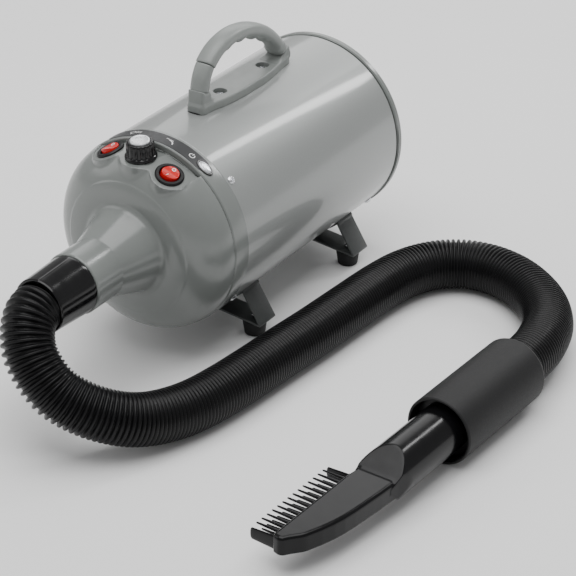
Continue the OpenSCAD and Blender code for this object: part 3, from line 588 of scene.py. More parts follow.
def cap_f(X, Y, Z):
    r = np.hypot(X, Z - AXIS_H)
    o = T_out(r, Y)
    # the front disc stands a hair proud of the dome
    o = o - 0.45 / (1 + np.exp(np.clip((r - 61.0) / 0.28, -40, 40))) * (Y < -100)
    x0, y0, z0 = local(P0, X, Y, Z)
    cut = z0
    cols = np.hypot(x0, y0) - 18.5
    wall = z0
    for s, Pp in ((1, P1), (-1, Pm)):
        x, y, z = local(Pp, X, Y, Z)
        c8, s8 = math.cos(math.radians(-8 * s)), math.sin(math.radians(-8 * s))
        xr = c8 * x + s8 * y
        lim = rmax(z * -1, s * xr - 16.9, 0.3)         # inside the notch: above the plane, short of its outer edge
        # notch i: z > 0 and s*xr < 16.9 and not across the middle
        lim = np.maximum(lim, -(s * xr) - 30)
        # union of the notches as a positive field for the cut
        cut = np.maximum(cut, -lim) if False else cut
        if s == 1:
            n1 = lim
        else:
            nm = lim
        cols = rmin(cols, np.hypot(x, y) - 16.5, 0.6)
    notch = np.minimum(np.minimum(-z0, n1), nm)        # negative inside the removed space
    notch = np.maximum(notch, 140 - Z)
    notch = np.maximum(notch, Y + 81.75)
    body = rmin(o, np.maximum(cols, 140 - Z), 2.2)
    body = np.maximum(body, o - 12)
    res = rmax(body, -notch, 0.4)
    # the rim stops short of the ring; a spigot carries on inside it
    spig = np.maximum(r - 81.35, Y + 76.5)
    res = np.maximum(res, np.minimum(rmax(Y - GY, r - 300, 0.1), spig))
    # inside
    cav = T_in(r, Y)
    cav = np.maximum(cav, -(notch - 2.6))
    res = np.maximum(res, -cav)
    res = rmax(res, -np.maximum(r - 25.2, Y + 166.9), 0.4)
    for s, Pp in ((0, P0), (1, P1), (-1, Pm)):
        x, y, z = local(Pp, X, Y, Z)
        res = np.maximum(res, -np.maximum(np.hypot(x, y) - (10.25 if s else 3.7), -z - 24))
    return res


h_cap = 1.0
v, f, nn = surface(cap_f, (-89, -194, 21), (89, -75, 199), h_cap)
capo = make("front_cap_visual", v, f, "grey", "dryer", normals=nn)
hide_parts("front_cap")


# ------------------------------------------------------------------ controls
def bezel(s, name):
    F = panel(s)
    prof = [(9.0, -16), (10, -16), (10, 0.1), (12.5, 0.1), (12.5, 1.3), (11.4, 2.3), (9.4, 2.3), (8.85, 1.7), (8.85, -6.2), (0, -6.2), (0, -16), (9, -16)]
    ob = lathe_obj(name, prof, F, "satin", "dryer", n=96, r=[0, 0, 0, 0, 0.5, 0.7, 0.4, 0.4, 0, 0, 0, 0], angle=50)
    fix_normals(ob)
    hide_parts("switch_body_left" if s < 0 else "switch_body_right")
    return ob


def rocker(s, name, node, body):
    F = panel(s) @ T(0, 0, -3) @ RX(-8)
    top = [(-3, -2.2), (3, -2.2), (8.5, 2.6), (8.5, 7.4), (4, 6.2), (0, 5.9), (-4, 6.2), (-8.5, 7.4), (-8.5, 2.6)]

    def fr(X, Y, Z):
        a = poly_sdf(Y, Z, top)
        rr = np.hypot(X, Y) - (8.4 - 0.085 * (Z + 2.4))
        b = rmax(rr, a, 0.5)
        pin = np.maximum(np.hypot(Y, Z) - 1.0, np.abs(X) - 9.3)
        return np.minimum(b, pin)
    v, f, nn = surface(fr, (-10, -10, -4), (10, 10, 9), 0.4)
    R = F[:3, :3]
    ob = make(name, put(v, F), f, "red", body, normals=nn @ R.T)
    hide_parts(node)
    # generic on and off marks, printed on the two slopes
    parts = []
    for y0, kind in ((-4.7, "bar"), (4.7, "ring")):
        z0 = 6.2 + (abs(y0) - 4) * 1.2 / 4.5 + 0.06
        sl = math.degrees(math.atan2(1.2, 4.5)) * (1 if y0 > 0 else -1)
        G = F @ T(0, y0, z0) @ RX(sl)
        if kind == "ring":
            vv, ff = lathe([(1.05, 0), (1.75, 0), (1.75, 0.12), (1.05, 0.12), (1.05, 0)], 36)
        else:
            q = [(-0.32, -1.7), (0.32, -1.7), (0.32, 1.7), (-0.32, 1.7)]
            vv = [(a, b, 0) for a, b in q] + [(a, b, 0.12) for a, b in q]
            ff = [(3, 2, 1, 0), (4, 5, 6, 7), (0, 1, 5, 4), (1, 2, 6, 5), (2, 3, 7, 6), (3, 0, 4, 7)]
        parts.append((put(vv, G), ff))
    v2, f2 = join(parts)
    m = make(name + "_marks", v2, f2, "white", body, smooth=False)
    return ob


bezel(-1, "switch_left_bezel")
bezel(1, "switch_right_bezel")
rocker(-1, "rocker_left_visual", "rocker_left", "rocker_left")
rocker(1, "rocker_right_visual", "rocker_right", "rocker_right")

# speed knob: skirt, fluted body, silver cap
F = panel(0) @ T(0, 0, 0.5)
nk = 216
a = np.arange(nk) * 2 * math.pi / nk
fl = np.clip(np.cos(a * 18), -1, 1)
flute = 0.85 * (np.clip(-fl, 0, 1) ** 0.8)
rows = []


def ring_row(r, z, k=0.0):
    rr = r - flute * k
    return np.stack([rr * np.cos(a), rr * np.sin(a), np.full(nk, z)], 1)


for r_, z_, k_ in ((6.5, 0.0, 0), (13.2, 0.0, 0), (13.7, 0.3, 0), (13.85, 0.8, 0), (13.85, 1.5, 0), (13.5, 2.2, 0), (12.9, 2.7, 0), (12.55, 3.1, 0.2), (12.35, 3.7, 0.8),
                   (12.25, 4.6, 1), (12.1, 9, 1), (11.95, 12.6, 1), (11.75, 13.6, 0.9), (11.3, 14.3, 0.6), (10.6, 14.8, 0.2), (9.8, 15.0, 0), (9.0, 15.0, 0), (8.7, 14.7, 0), (8.65, 13.8, 0), (3.05, 13.8, 0), (3.05, 2.8, 0), (6.5, 2.8, 0), (6.5, 0.0, 0)):
    rows.append(ring_row(r_, z_, k_))
kv = np.vstack(rows)
knob = make("speed_knob_visual", put(kv, F), grid_faces(len(rows), nk), "gloss", "knob", flat_angle=55)
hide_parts("speed_knob")
kc = lathe_obj("knob_cap_visual", [(0, 13.9), (8.55, 13.9), (8.55, 15.6), (8.0, 16.3), (7.0, 16.4), (6.3, 16.05), (3.5, 15.75), (0, 15.7)], F, "silver", "knob",
               n=96, r=0.35, angle=60)
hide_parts("knob_cap")


# label strip: curved film with small generic pictograms, and the lens in its recess
def curved_patch(a0, a1, y0, y1, r0, t, na=80, corner=2.0):
    """Outline points of a plate with rounded ends, in arc length on the ring and y: angles in degrees from the top."""
    prof = []
    ncorner = 6
    out = []
    s0, s1 = math.radians(a0) * 87, math.radians(a1) * 87
    base = [(s0, y0), (s1, y0), (s1, y1), (s0, y1)]
    pts = []
    for i, (cx, cy) in enumerate(base):
        sx = 1 if i in (0, 3) else -1
        sy = 1 if i in (0, 1) else -1
        for k in range(ncorner + 1):
            th = {0: 180, 1: 270, 2: 0, 3: 90}[i] + 90 * k / ncorner
            pts.append((cx + sx * corner + corner * math.cos(math.radians(th)), cy + sy * corner + corner * math.sin(math.radians(th))))
    return pts


def wrap(px, py, r):
    th = px / 87.0
    return (r * math.sin(th), py, AXIS_H + r * math.cos(th))


def strip_solid(rows_x, ylo, yhi, r0, t):
    """Curved plate between ylo(x) and yhi(x) at stations rows_x (arc length in mm)."""
    V, Fc = [], []
    for xx in rows_x:
        a_, b_ = ylo(xx), yhi(xx)
        V += [wrap(xx, a_, r0), wrap(xx, b_, r0), wrap(xx, b_ - 0.12, r0 + t), wrap(xx, a_ + 0.12, r0 + t)]
    n_ = len(rows_x)
    for i in range(n_ - 1):
        for j in range(4):
            p, q = i * 4 + j, i * 4 + (j + 1) % 4
            Fc.append((p, q, q + 4, p + 4))
    Fc.append((3, 2, 1, 0))
    m_ = (n_ - 1) * 4
    Fc.append((m_, m_ + 1, m_ + 2, m_ + 3))
    return V, Fc


xa, xb = math.radians(-32.6) * 87, math.radians(37.2) * 87


def endround(xx, lo_, hi_, r=6.4):
    mid, hw = (lo_ + hi_) / 2, (hi_ - lo_) / 2
    d = min(xx - xa, xb - xx)
    k = math.sqrt(max(0.0, 1 - (1 - min(d, r) / r) ** 2)) if d < r else 1.0
    return mid - hw * max(k, 0.05), mid + hw * max(k, 0.05)


ends = np.concatenate([xa + 6.4 * (1 - np.cos(np.linspace(0, math.pi / 2, 14))), np.linspace(xa + 6.6, xb - 6.6, 90), xb - 6.4 * (1 - np.cos(np.linspace(math.pi / 2, 0, 14)))])
lv, lf = strip_solid(ends, lambda q: endround(q, -80.2, -65.6)[0], lambda q: endround(q, -80.2, -65.6)[1], 86.9, 0.42)
lab = make("label_strip_visual", lv, lf, "film", "dryer", flat_angle=30)
fix_normals(lab)
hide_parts("label_strip")


def stroke(pts, w, r=87.33, t=0.06):
    """A printed line on the curved film."""
    V, Fc = [], []
    P = [np.array(p, float) for p in pts]
    for i, p in enumerate(P):
        d = (P[min(i + 1, len(P) - 1)] - P[max(i - 1, 0)])
        d = d / (np.linalg.norm(d) + 1e-9)
        nrm = np.array([-d[1], d[0]]) * w / 2
        V += [wrap(*(p + nrm), r), wrap(*(p - nrm), r), wrap(*(p - nrm), r + t), wrap(*(p + nrm), r + t)]
    for i in range(len(P) - 1):
        for j in range(4):
            p, q = i * 4 + j, i * 4 + (j + 1) % 4
            Fc.append((q, p, p + 4, q + 4))
    Fc.append((0, 1, 2, 3))
    m_ = (len(P) - 1) * 4
    Fc.append((m_ + 3, m_ + 2, m_ + 1, m_))
    return V, Fc


def arc_pts(cx, cy, r, a0, a1, n=16):
    return [(cx + r * math.cos(t), cy + r * math.sin(t)) for t in np.radians(np.linspace(a0, a1, n))]


ic = []
# one airflow swoosh over a short line, right of the knob
ic.append(stroke(arc_pts(14.0, -76.5, 5.0, 10, 95, 24), 0.95))
ic.append(stroke([(10.0, -70.4), (17.0, -70.4)], 0.6))
# low and high marks on the left
ic.append(stroke(arc_pts(-24, -72, 2.3, 0, 360, 30), 0.6))
ic.append(stroke([(-24, -74.3), (-24, -76.4)], 0.6))
for k in range(3):
    ic.append(stroke([(-20 + 1.9 * k, -69.2 - 0.4 * k), (-20 + 1.9 * k, -73.5)], 0.55))
# power mark by the lens
ic.append(stroke(arc_pts(38.6, -72.9, 2.4, 120, 420, 26), 0.75))
ic.append(stroke([(38.6, -72.2), (38.6, -69.6)], 0.75))
iv, iff = join(ic)
icons = make("label_marks", iv, iff, "white", "dryer", smooth=False)
fix_normals(icons)
FL = radial(35.2, 87.1, -72.9) @ np.diag([1.55, 1.0, 1.0, 1.0])
rec = lathe_obj("lens_bezel", [(0, 0.0), (5.6, 0.0), (5.6, 0.55), (5.2, 0.85), (4.6, 0.85), (4.3, 0.5), (0, 0.5)], FL, "gloss", "dryer", n=64, r=0.2, angle=50)
lens = lathe_obj("status_lens_visual", [(0, 0.3), (4.25, 0.3), (4.25, 0.9), (3.7, 1.35), (2.6, 1.6), (1.2, 1.72), (0, 1.75)], FL, "lens", "dryer", n=64, r=0.3, angle=60)
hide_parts("status_lens")

# ------------------------------------------------------------------ handle
ARCH = [(-8.5, 214.2), (-5, 226), (2.5, 236.5), (16, 245), (34, 249), (52, 248.3), (70, 243.6), (87, 235), (102, 222), (111, 209)]
ap = catmull([(p[0], p[1], 0) for p in ARCH], 12)[:, :2]
split = 22


def sweep_arch(P, grow, waves, r_end=0.5, na=56, inner_bump=0.0, ring_at_end=False):
    n = len(P)
    # resample evenly
    d = np.concatenate([[0], np.cumsum(np.linalg.norm(np.diff(P, axis=0), axis=1))])
    L = d[-1]
    m = int(L / (1.0)) + 2
    inner = np.linspace(r_end, L - r_end, m)
    st = np.concatenate([[0, r_end * 0.15, r_end * 0.5], inner, [L - r_end * 0.5, L - r_end * 0.15, L]])
    sh = np.interp(st, [0, r_end * 0.15, r_end * 0.5, r_end, L - r_end, L - r_end * 0.5, L - r_end * 0.15, L],
                   [-r_end, -r_end * 0.45, -r_end * 0.13, 0, 0, -r_end * 0.13, -r_end * 0.45, -r_end])
    cy, cz = np.interp(st, d, P[:, 0]), np.interp(st, d, P[:, 1])
    ty, tz = np.gradient(cy, st), np.gradient(cz, st)
    tl = np.hypot(ty, tz)
    ty, tz = ty / tl, tz / tl
    g = np.arange(na) * 2 * math.pi / na
    sx, sz = np.cos(g), np.sin(g)
    rows = []
    for i in range(len(st)):
        aa, bb = 8.8 + grow + sh[i], 5.7 + grow + sh[i]
        w = 0.0
        if waves:
            u = st[i] / L
            k = np.clip((u - 0.04) / 0.80, 0, 1)
            env = math.sin(math.pi * k) ** 0.4 if 0 < k < 1 else 0
            w = 3.3 * env * (abs(math.cos(math.pi * 4.5 * k)) ** 6.0)
        if ring_at_end:
            w2 = 1.0 * min(1.0, max(0.0, (st[i] - (L - 8.0)) / 0.8)) * min(1.0, max(0.0, (L - 2.2 - st[i]) / 0.8))
            aa, bb = aa + w2, bb + w2
        U = aa * np.sign(sx) * np.abs(sx) ** 0.78
        Wd = np.where(sz < 0, bb + w * np.abs(sz) ** 2, bb) * np.sign(sz) * np.abs(sz) ** 0.78
        ny, nz = -tz[i], ty[i]
        rows.append(np.stack([U, cy[i] + ny * Wd, cz[i] + nz * Wd], 1))
    V = np.vstack(rows)
    Fc = grid_faces(len(st), na)
    k = len(V)
    V = np.vstack([V, rows[0].mean(0), rows[-1].mean(0)])
    Fc += [(k, (j + 1) % na, j) for j in range(na)]
    Fc += [(k + 1, (len(st) - 1) * na + j, (len(st) - 1) * na + (j + 1) % na) for j in range(na)]
    return V, Fc


def gap_points(P, g0, g1):
    d = np.concatenate([[0], np.cumsum(np.linalg.norm(np.diff(P, axis=0), axis=1))])
    s = np.linspace(g0, d[-1] - g1, len(P))
    return np.stack([np.interp(s, d, P[:, 0]), np.interp(s, d, P[:, 1])], 1)


v, f = sweep_arch(gap_points(ap[:split + 1], 0.25, 0.2), -0.15, False, 0.7)
leg = make("handle_front_leg_visual", v, f, "handle", "dryer", flat_angle=60)
fix_normals(leg)
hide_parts("handle_front_leg")
v, f = sweep_arch(gap_points(ap[split:], 0.2, 0.2), 0.45, True, 0.9, ring_at_end=True)
gr = make("handle_grip_visual", v, f, "handle", "dryer", flat_angle=60)
fix_normals(gr)
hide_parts("handle_grip")

PLAN = [(-8.2, -13.6), (-6.2, -16.2), (6.2, -16.2), (8.2, -13.6), (9.8, -2), (12.6, 10), (14, 22), (15, 40), (15, 70), (13.4, 86), (10.6, 102), (9, 114),
        (6.5, 118), (-6.5, 118), (-9, 114), (-10.6, 102), (-13.4, 86), (-15, 70), (-15, 40), (-14, 22), (-12.6, 10), (-9.8, -2)]


def smooth_closed(P, r, n=5):
    Q = P + P[:2]
    o = rounded(Q, r, n)
    # drop the first corner's raw copy
    res = rounded([P[-1]] + P + [P[0]], r, n)[1:-1]
    return res


plan_s = smooth_closed(PLAN, [0] + [3, 3, 3, 3, 20, 30, 30, 40, 40, 40, 30, 3, 3, 3, 3, 30, 40, 40, 40, 30, 30, 20] + [0])
T_plan = Table2(plan_s, -24, 24, -26, 124, 0.25)
front_prof = [(-20, 196), (-20, 219), (-16, 217.6), (-12, 216.6), (0, 213.9), (1.6, 208), (4, 196)]
stubF = [(-15.6, 190), (-15.5, 204), (-15.1, 209), (-14.5, 216.3), (-2.4, 213.6), (-1.2, 207.5), (1.5, 203.5), (8, 200.5), (8, 190)]
stubR = [(92, 196), (97.5, 202.0), (104.2, 204.2), (117.2, 212.1), (118.6, 208), (119, 196)]


def hb_f(X, Y, Z):
    r = np.hypot(X, Z - AXIS_H)
    base = rmax(T_plan(X, Y), Z - 202.6, 1.3)
    fs = rmax(poly_sdf(Y, Z, stubF), np.abs(X) - 8.5, 2.8)
    rs = rmax(poly_sdf(Y, Z, stubR), np.abs(X) - 8.9, 1.6)
    b = rmin(base, fs, 3.0)
    b = rmin(b, rs, 2.5)
    tail = rmax(poly_sdf(Y, Z, [(118.6, 195.5), (121.4, 195.8), (124.6, 199.2), (124.8, 203), (121.5, 210.6), (119.2, 211.6), (118.4, 210)]), np.abs(X) - 6.0, 1.0)
    b = np.minimum(b, tail)
    b = np.maximum(b, -(r - 86.05))
    for y in (22, 88):
        q = np.hypot(X, Y - y)
        b = rmax(b, -np.maximum(q - 5.9, 198.4 - Z), 0.4)
        b = np.maximum(b, -(q - 2.2))
    return b


v, f, nn = surface(hb_f, (-20, -23, 190), (20, 127, 222), 0.7)
hb = make("handle_base_visual", v, f, "handle", "dryer", normals=nn)
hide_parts("handle_base")
# dark gasket under the front of the handle
gv, gf = lathe([(0, 0), (7.6, 0), (7.9, 0.6), (7.6, 1.3), (0, 1.3)], 48)
gv = np.array(gv)
gv[:, 1] *= 0.42
make("handle_gasket", put(gv, T(0, -14.6, 195.3) @ RX(-4)), gf, "rubber", "dryer", flat_angle=50)


# ------------------------------------------------------------------ pan screws
def screw_mesh(head_r, head_h, cross=True):
    def sf(X, Y, Z):
        q = np.hypot(X, Y)
        R_ = (head_r * head_r + head_h * head_h) / (2 * head_h)
        ball = np.sqrt(q * q + (Z - (head_h - R_)) ** 2) - R_
        head = rmax(rmax(ball, q - head_r, 0.25), -Z, 0.15)
        k = head_r * 0.55
        w = head_r * 0.13 + np.clip(Z - head_h * 0.35, 0, 9) * 0.10
        c1 = np.maximum(np.abs(X) - k, np.abs(Y) - w)
        c2 = np.maximum(np.abs(Y) - k, np.abs(X) - w)
        cr_ = np.maximum(np.minimum(c1, c2), head_h * 0.3 - Z)
        return rmax(head, -cr_, 0.12)
    return surface(sf, (-head_r - 0.6, -head_r - 0.6, -0.5), (head_r + 0.6, head_r + 0.6, head_h + 0.6), 0.26)


def screws(name, node, frames, head_r, head_h, shank, spin=20, extra=None, body="dryer"):
    v0, f0, n0 = screw_mesh(head_r, head_h)
    parts, norms = [], []
    for i, F_ in enumerate(frames):
        G = F_ @ RZ(spin + 37 * i)
        parts.append((put(v0, G), f0))
        norms.append(n0 @ G[:3, :3].T)
        sv, sf_ = lathe([(0, -shank), (1.5, -shank), (1.9, -shank + 1), (1.9, 0.4), (0, 0.4)], 20)
        parts.append((put(sv, F_), sf_))
        sn = np.array(sv, float)
        sn[:, 2] = 0
        sn = sn + np.array([[0, 0, 1e-3]])
        norms.append((sn / np.linalg.norm(sn, axis=1, keepdims=True)) @ F_[:3, :3].T)
    V, Fc = join(parts)
    ob = make(name, V, Fc, "chrome", body, normals=np.vstack(norms))
    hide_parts(node)
    return ob


screws("shell_screws_visual", "shell_screws", [radial(a_, 86, -55.7) for a_ in (-49, 49, -131, 131)] + [radial(a_, 86, 172) for a_ in (-135, 135, 180)], 3.9, 2.3, 6)
screws("handle_screws_visual", "handle_screws", [T(0, 22, 198.4), T(0, 88, 198.4)], 4.0, 2.5, 10)
screws("foot_screws_visual", "foot_screws", [T(s * 62, y, 18.4) for y in (-18, 136) for s in (-1, 1)], 3.6, 2.3, 12)
screws("bracket_screws_visual", "bracket_screws", [radial(a_, 88, y) for y in (-18, 136) for a_ in (172, 188)], 3.6, 1.8, 9)


# ------------------------------------------------------------------ foot brackets: one bent strip
def ribbon(path, t, w, edge=0.45):
    """A strip with thickness t along a 2-D path (x, z), w wide in Y, with softened edges. t is to the left of the path."""
    P = np.array(path, float)
    n = len(P)
    D = np.zeros_like(P)
    D[1:-1] = P[2:] - P[:-2]
    D[0], D[-1] = P[1] - P[0], P[-1] - P[-2]
    D /= np.linalg.norm(D, axis=1, keepdims=True)
    Nn = np.stack([-D[:, 1], D[:, 0]], 1)
    hw, ht, e_ = w / 2, t / 2, edge
    sec = [(-hw + e_, -ht), (hw - e_, -ht), (hw - e_ * 0.3, -ht + e_ * 0.3), (hw, -ht + e_), (hw, ht - e_), (hw - e_ * 0.3, ht - e_ * 0.3), (hw - e_, ht),
           (-hw + e_, ht), (-hw + e_ * 0.3, ht - e_ * 0.3), (-hw, ht - e_), (-hw, -ht + e_), (-hw + e_ * 0.3, -ht + e_ * 0.3)]
    V = []
    for i in range(n):
        for yy, k in sec:
            q = P[i] + Nn[i] * k
            V.append((q[0], yy, q[1]))
    Fc = grid_faces(n, len(sec))
    Fc.append(tuple(range(len(sec) - 1, -1, -1)))
    Fc.append(tuple((n - 1) * len(sec) + j for j in range(len(sec))))
    return V, Fc


def bracket(y0, name, node):
    parts = []
    A = np.radians(np.linspace(-42, 42, 60))
    parts.append(ribbon([(87.1 * math.sin(t), AXIS_H - 87.1 * math.cos(t)) for t in A], 2.0, 24))
    for s in (-1, 1):
        # down the outer side, round the foot, back in to the arc
        pl = [(57.6, 110 - 65.2), (58.6, 110 - 68.0), (74.6, 110 - 93.6), (75.2, 110 - 94.9), (73.6, 110 - 94.7), (19.0, 110 - 89.1)]
        pr = rounded(pl, [0, 3.0, 1.2, 1.0, 1.2, 0], 6)
        pr = [np.array(q) for q in pr]
        # split long stretches so the shading stays even
        Q = [pr[0]]
        for q in pr[1:]:
            L = np.linalg.norm(q - Q[-1])
            m_ = max(1, int(L / 6))
            b0 = Q[-1]
            for k in range(1, m_ + 1):
                Q.append(b0 + (q - b0) * k / m_)
        parts.append(ribbon([(s * q[0], q[1]) for q in Q], 1.9, 24))
    V, Fc = join(parts)
    V[:, 1] += y0
    ob = make(name, V, Fc, "bracket", "dryer", flat_angle=35)
    fix_normals(ob)
    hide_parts(node)


bracket(-18, "front_bracket_visual", "front_bracket")
bracket(136, "rear_bracket_visual", "rear_bracket")


def feet():
    parts, norms = [], []

    def ff(X, Y, Z):
        q = np.hypot(X, Y)
        side_ = q - np.interp(Z, [0, 0.9, 12, 20], [8.6, 9.2, 10.8, 11.2])
        b = rmax(side_, -Z, 0.6)
        b = rmax(b, Z - (14.4 - 0.1015 * (X + 0)), 0.5)
        for zc in (4.2, 7.2):
            b = np.maximum(b, -(np.hypot(q - 11.0, Z - zc) - 0.9))
        return np.maximum(b, -np.maximum(q - 5, Z - 1.4))
    v0, f0, n0 = surface(ff, (-12.5, -12.5, -0.8), (12.5, 12.5, 17), 0.6)
    for y in (-18, 136):
        for s in (-1, 1):
            w_, k_ = v0.copy(), n0.copy()
            fc = f0
            if s < 0:
                w_[:, 0] *= -1
                k_[:, 0] *= -1
                fc = [tuple(reversed(q)) for q in f0]
            w_ = w_ + np.array([s * 62, y, 0])
            parts.append((w_, fc))
            norms.append(k_)
    V, Fc = join(parts)
    ob = make("rubber_feet_visual", V, Fc, "rubber", "dryer", normals=np.vstack(norms))
    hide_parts("rubber_feet")


feet()

# ------------------------------------------------------------------ nozzle and comb (tool frame)
BP = [(-17.6, -60), (-18.4, -87), (-19.5, -97), (-19.5, -196.6), (-18.6, -199), (-11.3, -201), (-6, -193.5), (0.6, -185.5), (6.1, -170.6), (9.4, -159),
      (11.5, -148.7), (13, -137), (14, -126.6), (15, -115), (15.8, -104.5), (16.8, -88), (17, -60)]
blade_s = smooth_closed(BP, [0] + [0.5, 8, 8, 1.2, 3.0, 5.0, 14, 20, 30, 30, 30, 30, 30, 30, 20, 8, 0.5] + [0], 6)
T_bl = Table2(blade_s, -26, 24, -208, -50, 0.25)


def noz_f(x, y, z):
    q = np.hypot(x, z)
    tube = rmax(q - 21.3, y - 48, 0.8)
    tube = np.maximum(tube, -104 - y)
    # sloping facet from the top of the tube down to the blade
    nx, nz = -15.3, 23.5
    L = math.hypot(nx, nz)
    sl = ((y + 64) * nx + (z - 21.3) * nz) / L
    under = (-(y + 74) * 13.3 * 1.0 - (z + 21.3) * 14.4) / math.hypot(13.3, 14.4)
    tb = rmax(tube, sl, 0.7)
    tb = rmax(tb, under, 0.7)
    tb = rmax(tb, ((x - 21.3) * 24 - (y + 72) * 4.9) / 24.5, 0.6)
    tb = rmax(tb, ((-x - 21.3) * 24 - (y + 72) * 2.8) / 24.2, 0.6)
    tb = np.maximum(tb, -94 - y)
    bl = rmax(T_bl(x, y) - 0.4, z - 6.1, 3.2)
    bl = rmax(bl, -10.1 - z, 1.2)
    b = rmin(tb, bl, 1.6)
    b = np.maximum(b, -np.maximum(q - 19, -66 - y))
    b = np.maximum(b, -np.maximum(np.maximum(q - 14.5, np.abs(z + 1.9) - 5.7), np.maximum(y + 60, -92 - y)))
    inner = np.maximum(T_bl(x + 0.6, y) + 3.0, np.abs(z + 1.9) - 5.7)
    b = np.maximum(b, -np.maximum(inner, y + 70))
    return b


v, f, nn = surface(noz_f, (-24, -204, -25), (24, 50, 25), 0.85)
nz_o = make("nozzle_visual", put(v, TOOL), f, "nozzle", "nozzle", normals=nn @ TOOL[:3, :3].T)
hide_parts("nozzle_body")


def tooth(w0, w1, h0, h1, L, n=14):
    """Tapered tooth with an oval section and a blunt rounded tip, root at x = 0 running to -L."""
    rows = []
    st = [0, 0.08, 0.25, 0.45, 0.65, 0.82, 0.93, 0.97, 0.99, 1.0]
    for u in st:
        w, h_ = w0 + (w1 - w0) * u, h0 + (h1 - h0) * u
        if u > 0.93:
            k = math.sqrt(max(0.02, 1 - ((u - 0.93) / 0.07) ** 2))
            w, h_ = w * k, h_ * k
        a_ = np.arange(n) * 2 * math.pi / n
        rows.append(np.stack([np.full(n, -L * u), w * np.sign(np.cos(a_)) * np.abs(np.cos(a_)) ** 0.75, h_ * np.sign(np.sin(a_)) * np.abs(np.sin(a_)) ** 0.75], 1))
    V = np.vstack(rows)
    Fc = grid_faces(len(st), n)
    Fc.append(tuple(range(n - 1, -1, -1)))
    Fc.append(tuple((len(st) - 1) * n + j for j in range(n)))
    return V, Fc


parts = []
for i in range(1, 15):
    for zc in (-7.8, 1.8):
        V, Fc = tooth(1.6, 0.72, 1.35, 0.75, 22.6)
        parts.append((V + np.array([-19.6, -95 - i * 6.7, zc]), Fc))
for yv in (-95.6, -196.2):
    V, Fc = tooth(1.45, 0.95, 6.2, 5.2, 22.6, 20)
    parts.append((V + np.array([-19.6, yv, -3.2]), Fc))


def comb_root(x, y, z):
    b = rmax(rmax(np.abs(x + 20.45) - 0.95, np.abs(y + 145.7) - 50.9, 0.4), np.abs(z + 3.1) - 6.5, 0.4)
    m_ = (y + 98.7 - 1.7 + 6.7 * 15) % 6.7 - 3.35
    slot_ = np.maximum(np.maximum(np.abs(m_) - 1.5, np.abs(z + 3.0) - 2.9), np.abs(y + 145.7) - 48.5)
    return np.maximum(b, -slot_)


V, Fc, _ = surface(comb_root, (-22.5, -198.5, -11), (-18.5, -93, 5), 0.6)
parts.append((V, Fc))
V, Fc = join(parts)
cb = make("comb_visual", put(V, TOOL), Fc, "nozzle", "nozzle", flat_angle=45)
fix_normals(cb)
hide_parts("comb_teeth")

# ------------------------------------------------------------------ CAD nodes that stay, with their materials
KEEP = {
    "rear_frame": "grey", "rear_cover": "grey", "filter_foam": "foam", "cord_gland": "satin", "barrel_liner": "satin",
    "outlet_grille": "satin", "potentiometer": "steel", "pot_shaft": "steel", "baffle": "steel", "mount_ring": "rubber",
    "fan_case": "alu", "motor_can": "steel", "stator": "steel", "field_coils": "copper", "motor_bearings": "chrome",
    "brush_holders": "brass", "carbon_brushes": "carbon", "rotor_shaft": "steel", "commutator": "copper", "armature": "steel",
    "impeller": "alu", "fan_nut": "chrome", "motor_spider": "steel", "nose_ring": "rubber", "heater_sleeve": "steel",
    "heater_frame": "mica", "heater_coil": "brass", "thermal_cutout": "nylon", "control_board": "board", "board_posts": "nylon",
    "heatsink": "alu", "terminal_block": "nylon", "wiring": "wire",
}
REST = {"barrel_shell": "barrel", "front_ring": "grey", "front_cap": "grey", "label_strip": "film", "status_lens": "lens", "switch_body_left": "satin",
        "switch_body_right": "satin", "rocker_left": "red", "rocker_right": "red", "speed_knob": "gloss", "knob_cap": "silver", "handle_base": "handle",
        "handle_front_leg": "handle", "handle_grip": "handle", "handle_screws": "chrome", "front_bracket": "bracket", "rear_bracket": "bracket",
        "bracket_screws": "chrome", "rubber_feet": "rubber", "foot_screws": "chrome", "shell_screws": "chrome", "hose_cuff": "gloss", "hose": "hose",
        "grip_sleeve": "rubber", "swivel_collar": "satin", "nozzle_body": "nozzle", "comb_teeth": "nozzle"}
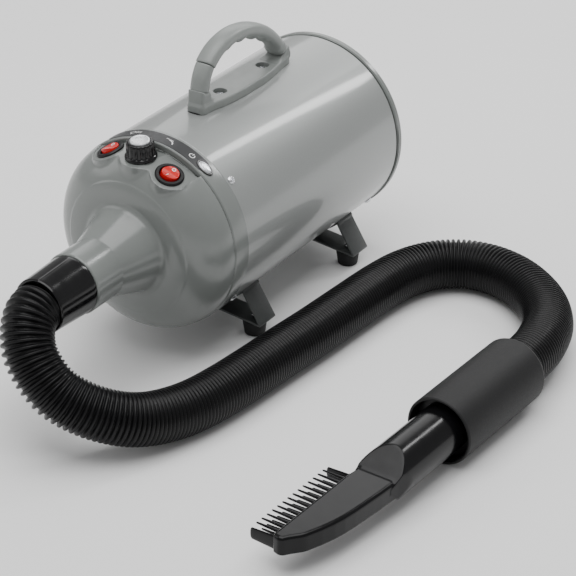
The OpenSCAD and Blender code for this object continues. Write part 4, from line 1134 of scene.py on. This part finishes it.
for name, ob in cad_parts.items():
    key = KEEP.get(name) or REST.get(name) or "steel"
    if not ob.material_slots:
        ob.data.materials.append(None)
    for sl in ob.material_slots:
        sl.link = "OBJECT"
        sl.material = M[key]
    if name in KEEP:
        for p_ in ob.data.polygons:
            pass
for name in ("rear_frame", "rear_cover"):
    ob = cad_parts[name]
    bv = ob.modifiers.new("edge", "BEVEL")
    bv.width = 0.0004
    bv.segments = 2
    bv.limit_method = "ANGLE"
    bv.angle_limit = math.radians(40)
    bv.harden_normals = False

# ------------------------------------------------------------------ floor, backdrop and studio light
fm, nt, b = _mat("studio_floor")
n_ = _noise(nt, 3.0, 2.0)
nt.links.new(_mix(nt, _range(nt, n_.outputs["Fac"], 0, 1), (0.86, 0.86, 0.86), (0.88, 0.88, 0.88)), b.inputs["Base Color"])
b.inputs["Roughness"].default_value = 0.9
b.inputs["Specular IOR Level"].default_value = 0.1
me = bpy.data.meshes.new("floor")
me.from_pydata([(-9, -9, 0), (9, -9, 0), (9, 9, 0), (-9, 9, 0)], [], [(0, 1, 2, 3)])
floor = bpy.data.objects.new("floor", me)
bpy.context.scene.collection.objects.link(floor)
me.materials.append(fm)

world = bpy.data.worlds.new("studio")
bpy.context.scene.world = world
world.use_nodes = True
bg = world.node_tree.nodes["Background"]
bg.inputs["Color"].default_value = (1, 1, 1, 1)
bg.inputs["Strength"].default_value = 0.42


def area(name, loc, target, size, size_y, power, spread=None):
    L = bpy.data.lights.new(name, "AREA")
    L.shape = "RECTANGLE"
    L.size, L.size_y = size, size_y
    L.energy = power
    if spread:
        L.spread = math.radians(spread)
    o = bpy.data.objects.new(name, L)
    bpy.context.scene.collection.objects.link(o)
    o.location = loc
    d = Vector(target) - Vector(loc)
    o.rotation_mode = "QUATERNION"
    o.rotation_quaternion = d.to_track_quat("-Z", "Y")
    return o


area("top_soft", (0.1, -0.2, 2.6), (0.1, 0, 0.1), 2.6, 2.6, 78)
area("back_soft", (-0.9, 2.7, 1.7), (0, 0, 0.15), 2.9, 1.6, 27)
area("back_strip", (0.68, 1.85, 1.62), (0.02, 0.06, 0.18), 0.24, 1.1, 13.0)
area("left_soft", (-2.2, -1.2, 1.4), (0, -0.15, 0.15), 1.2, 1.8, 10)
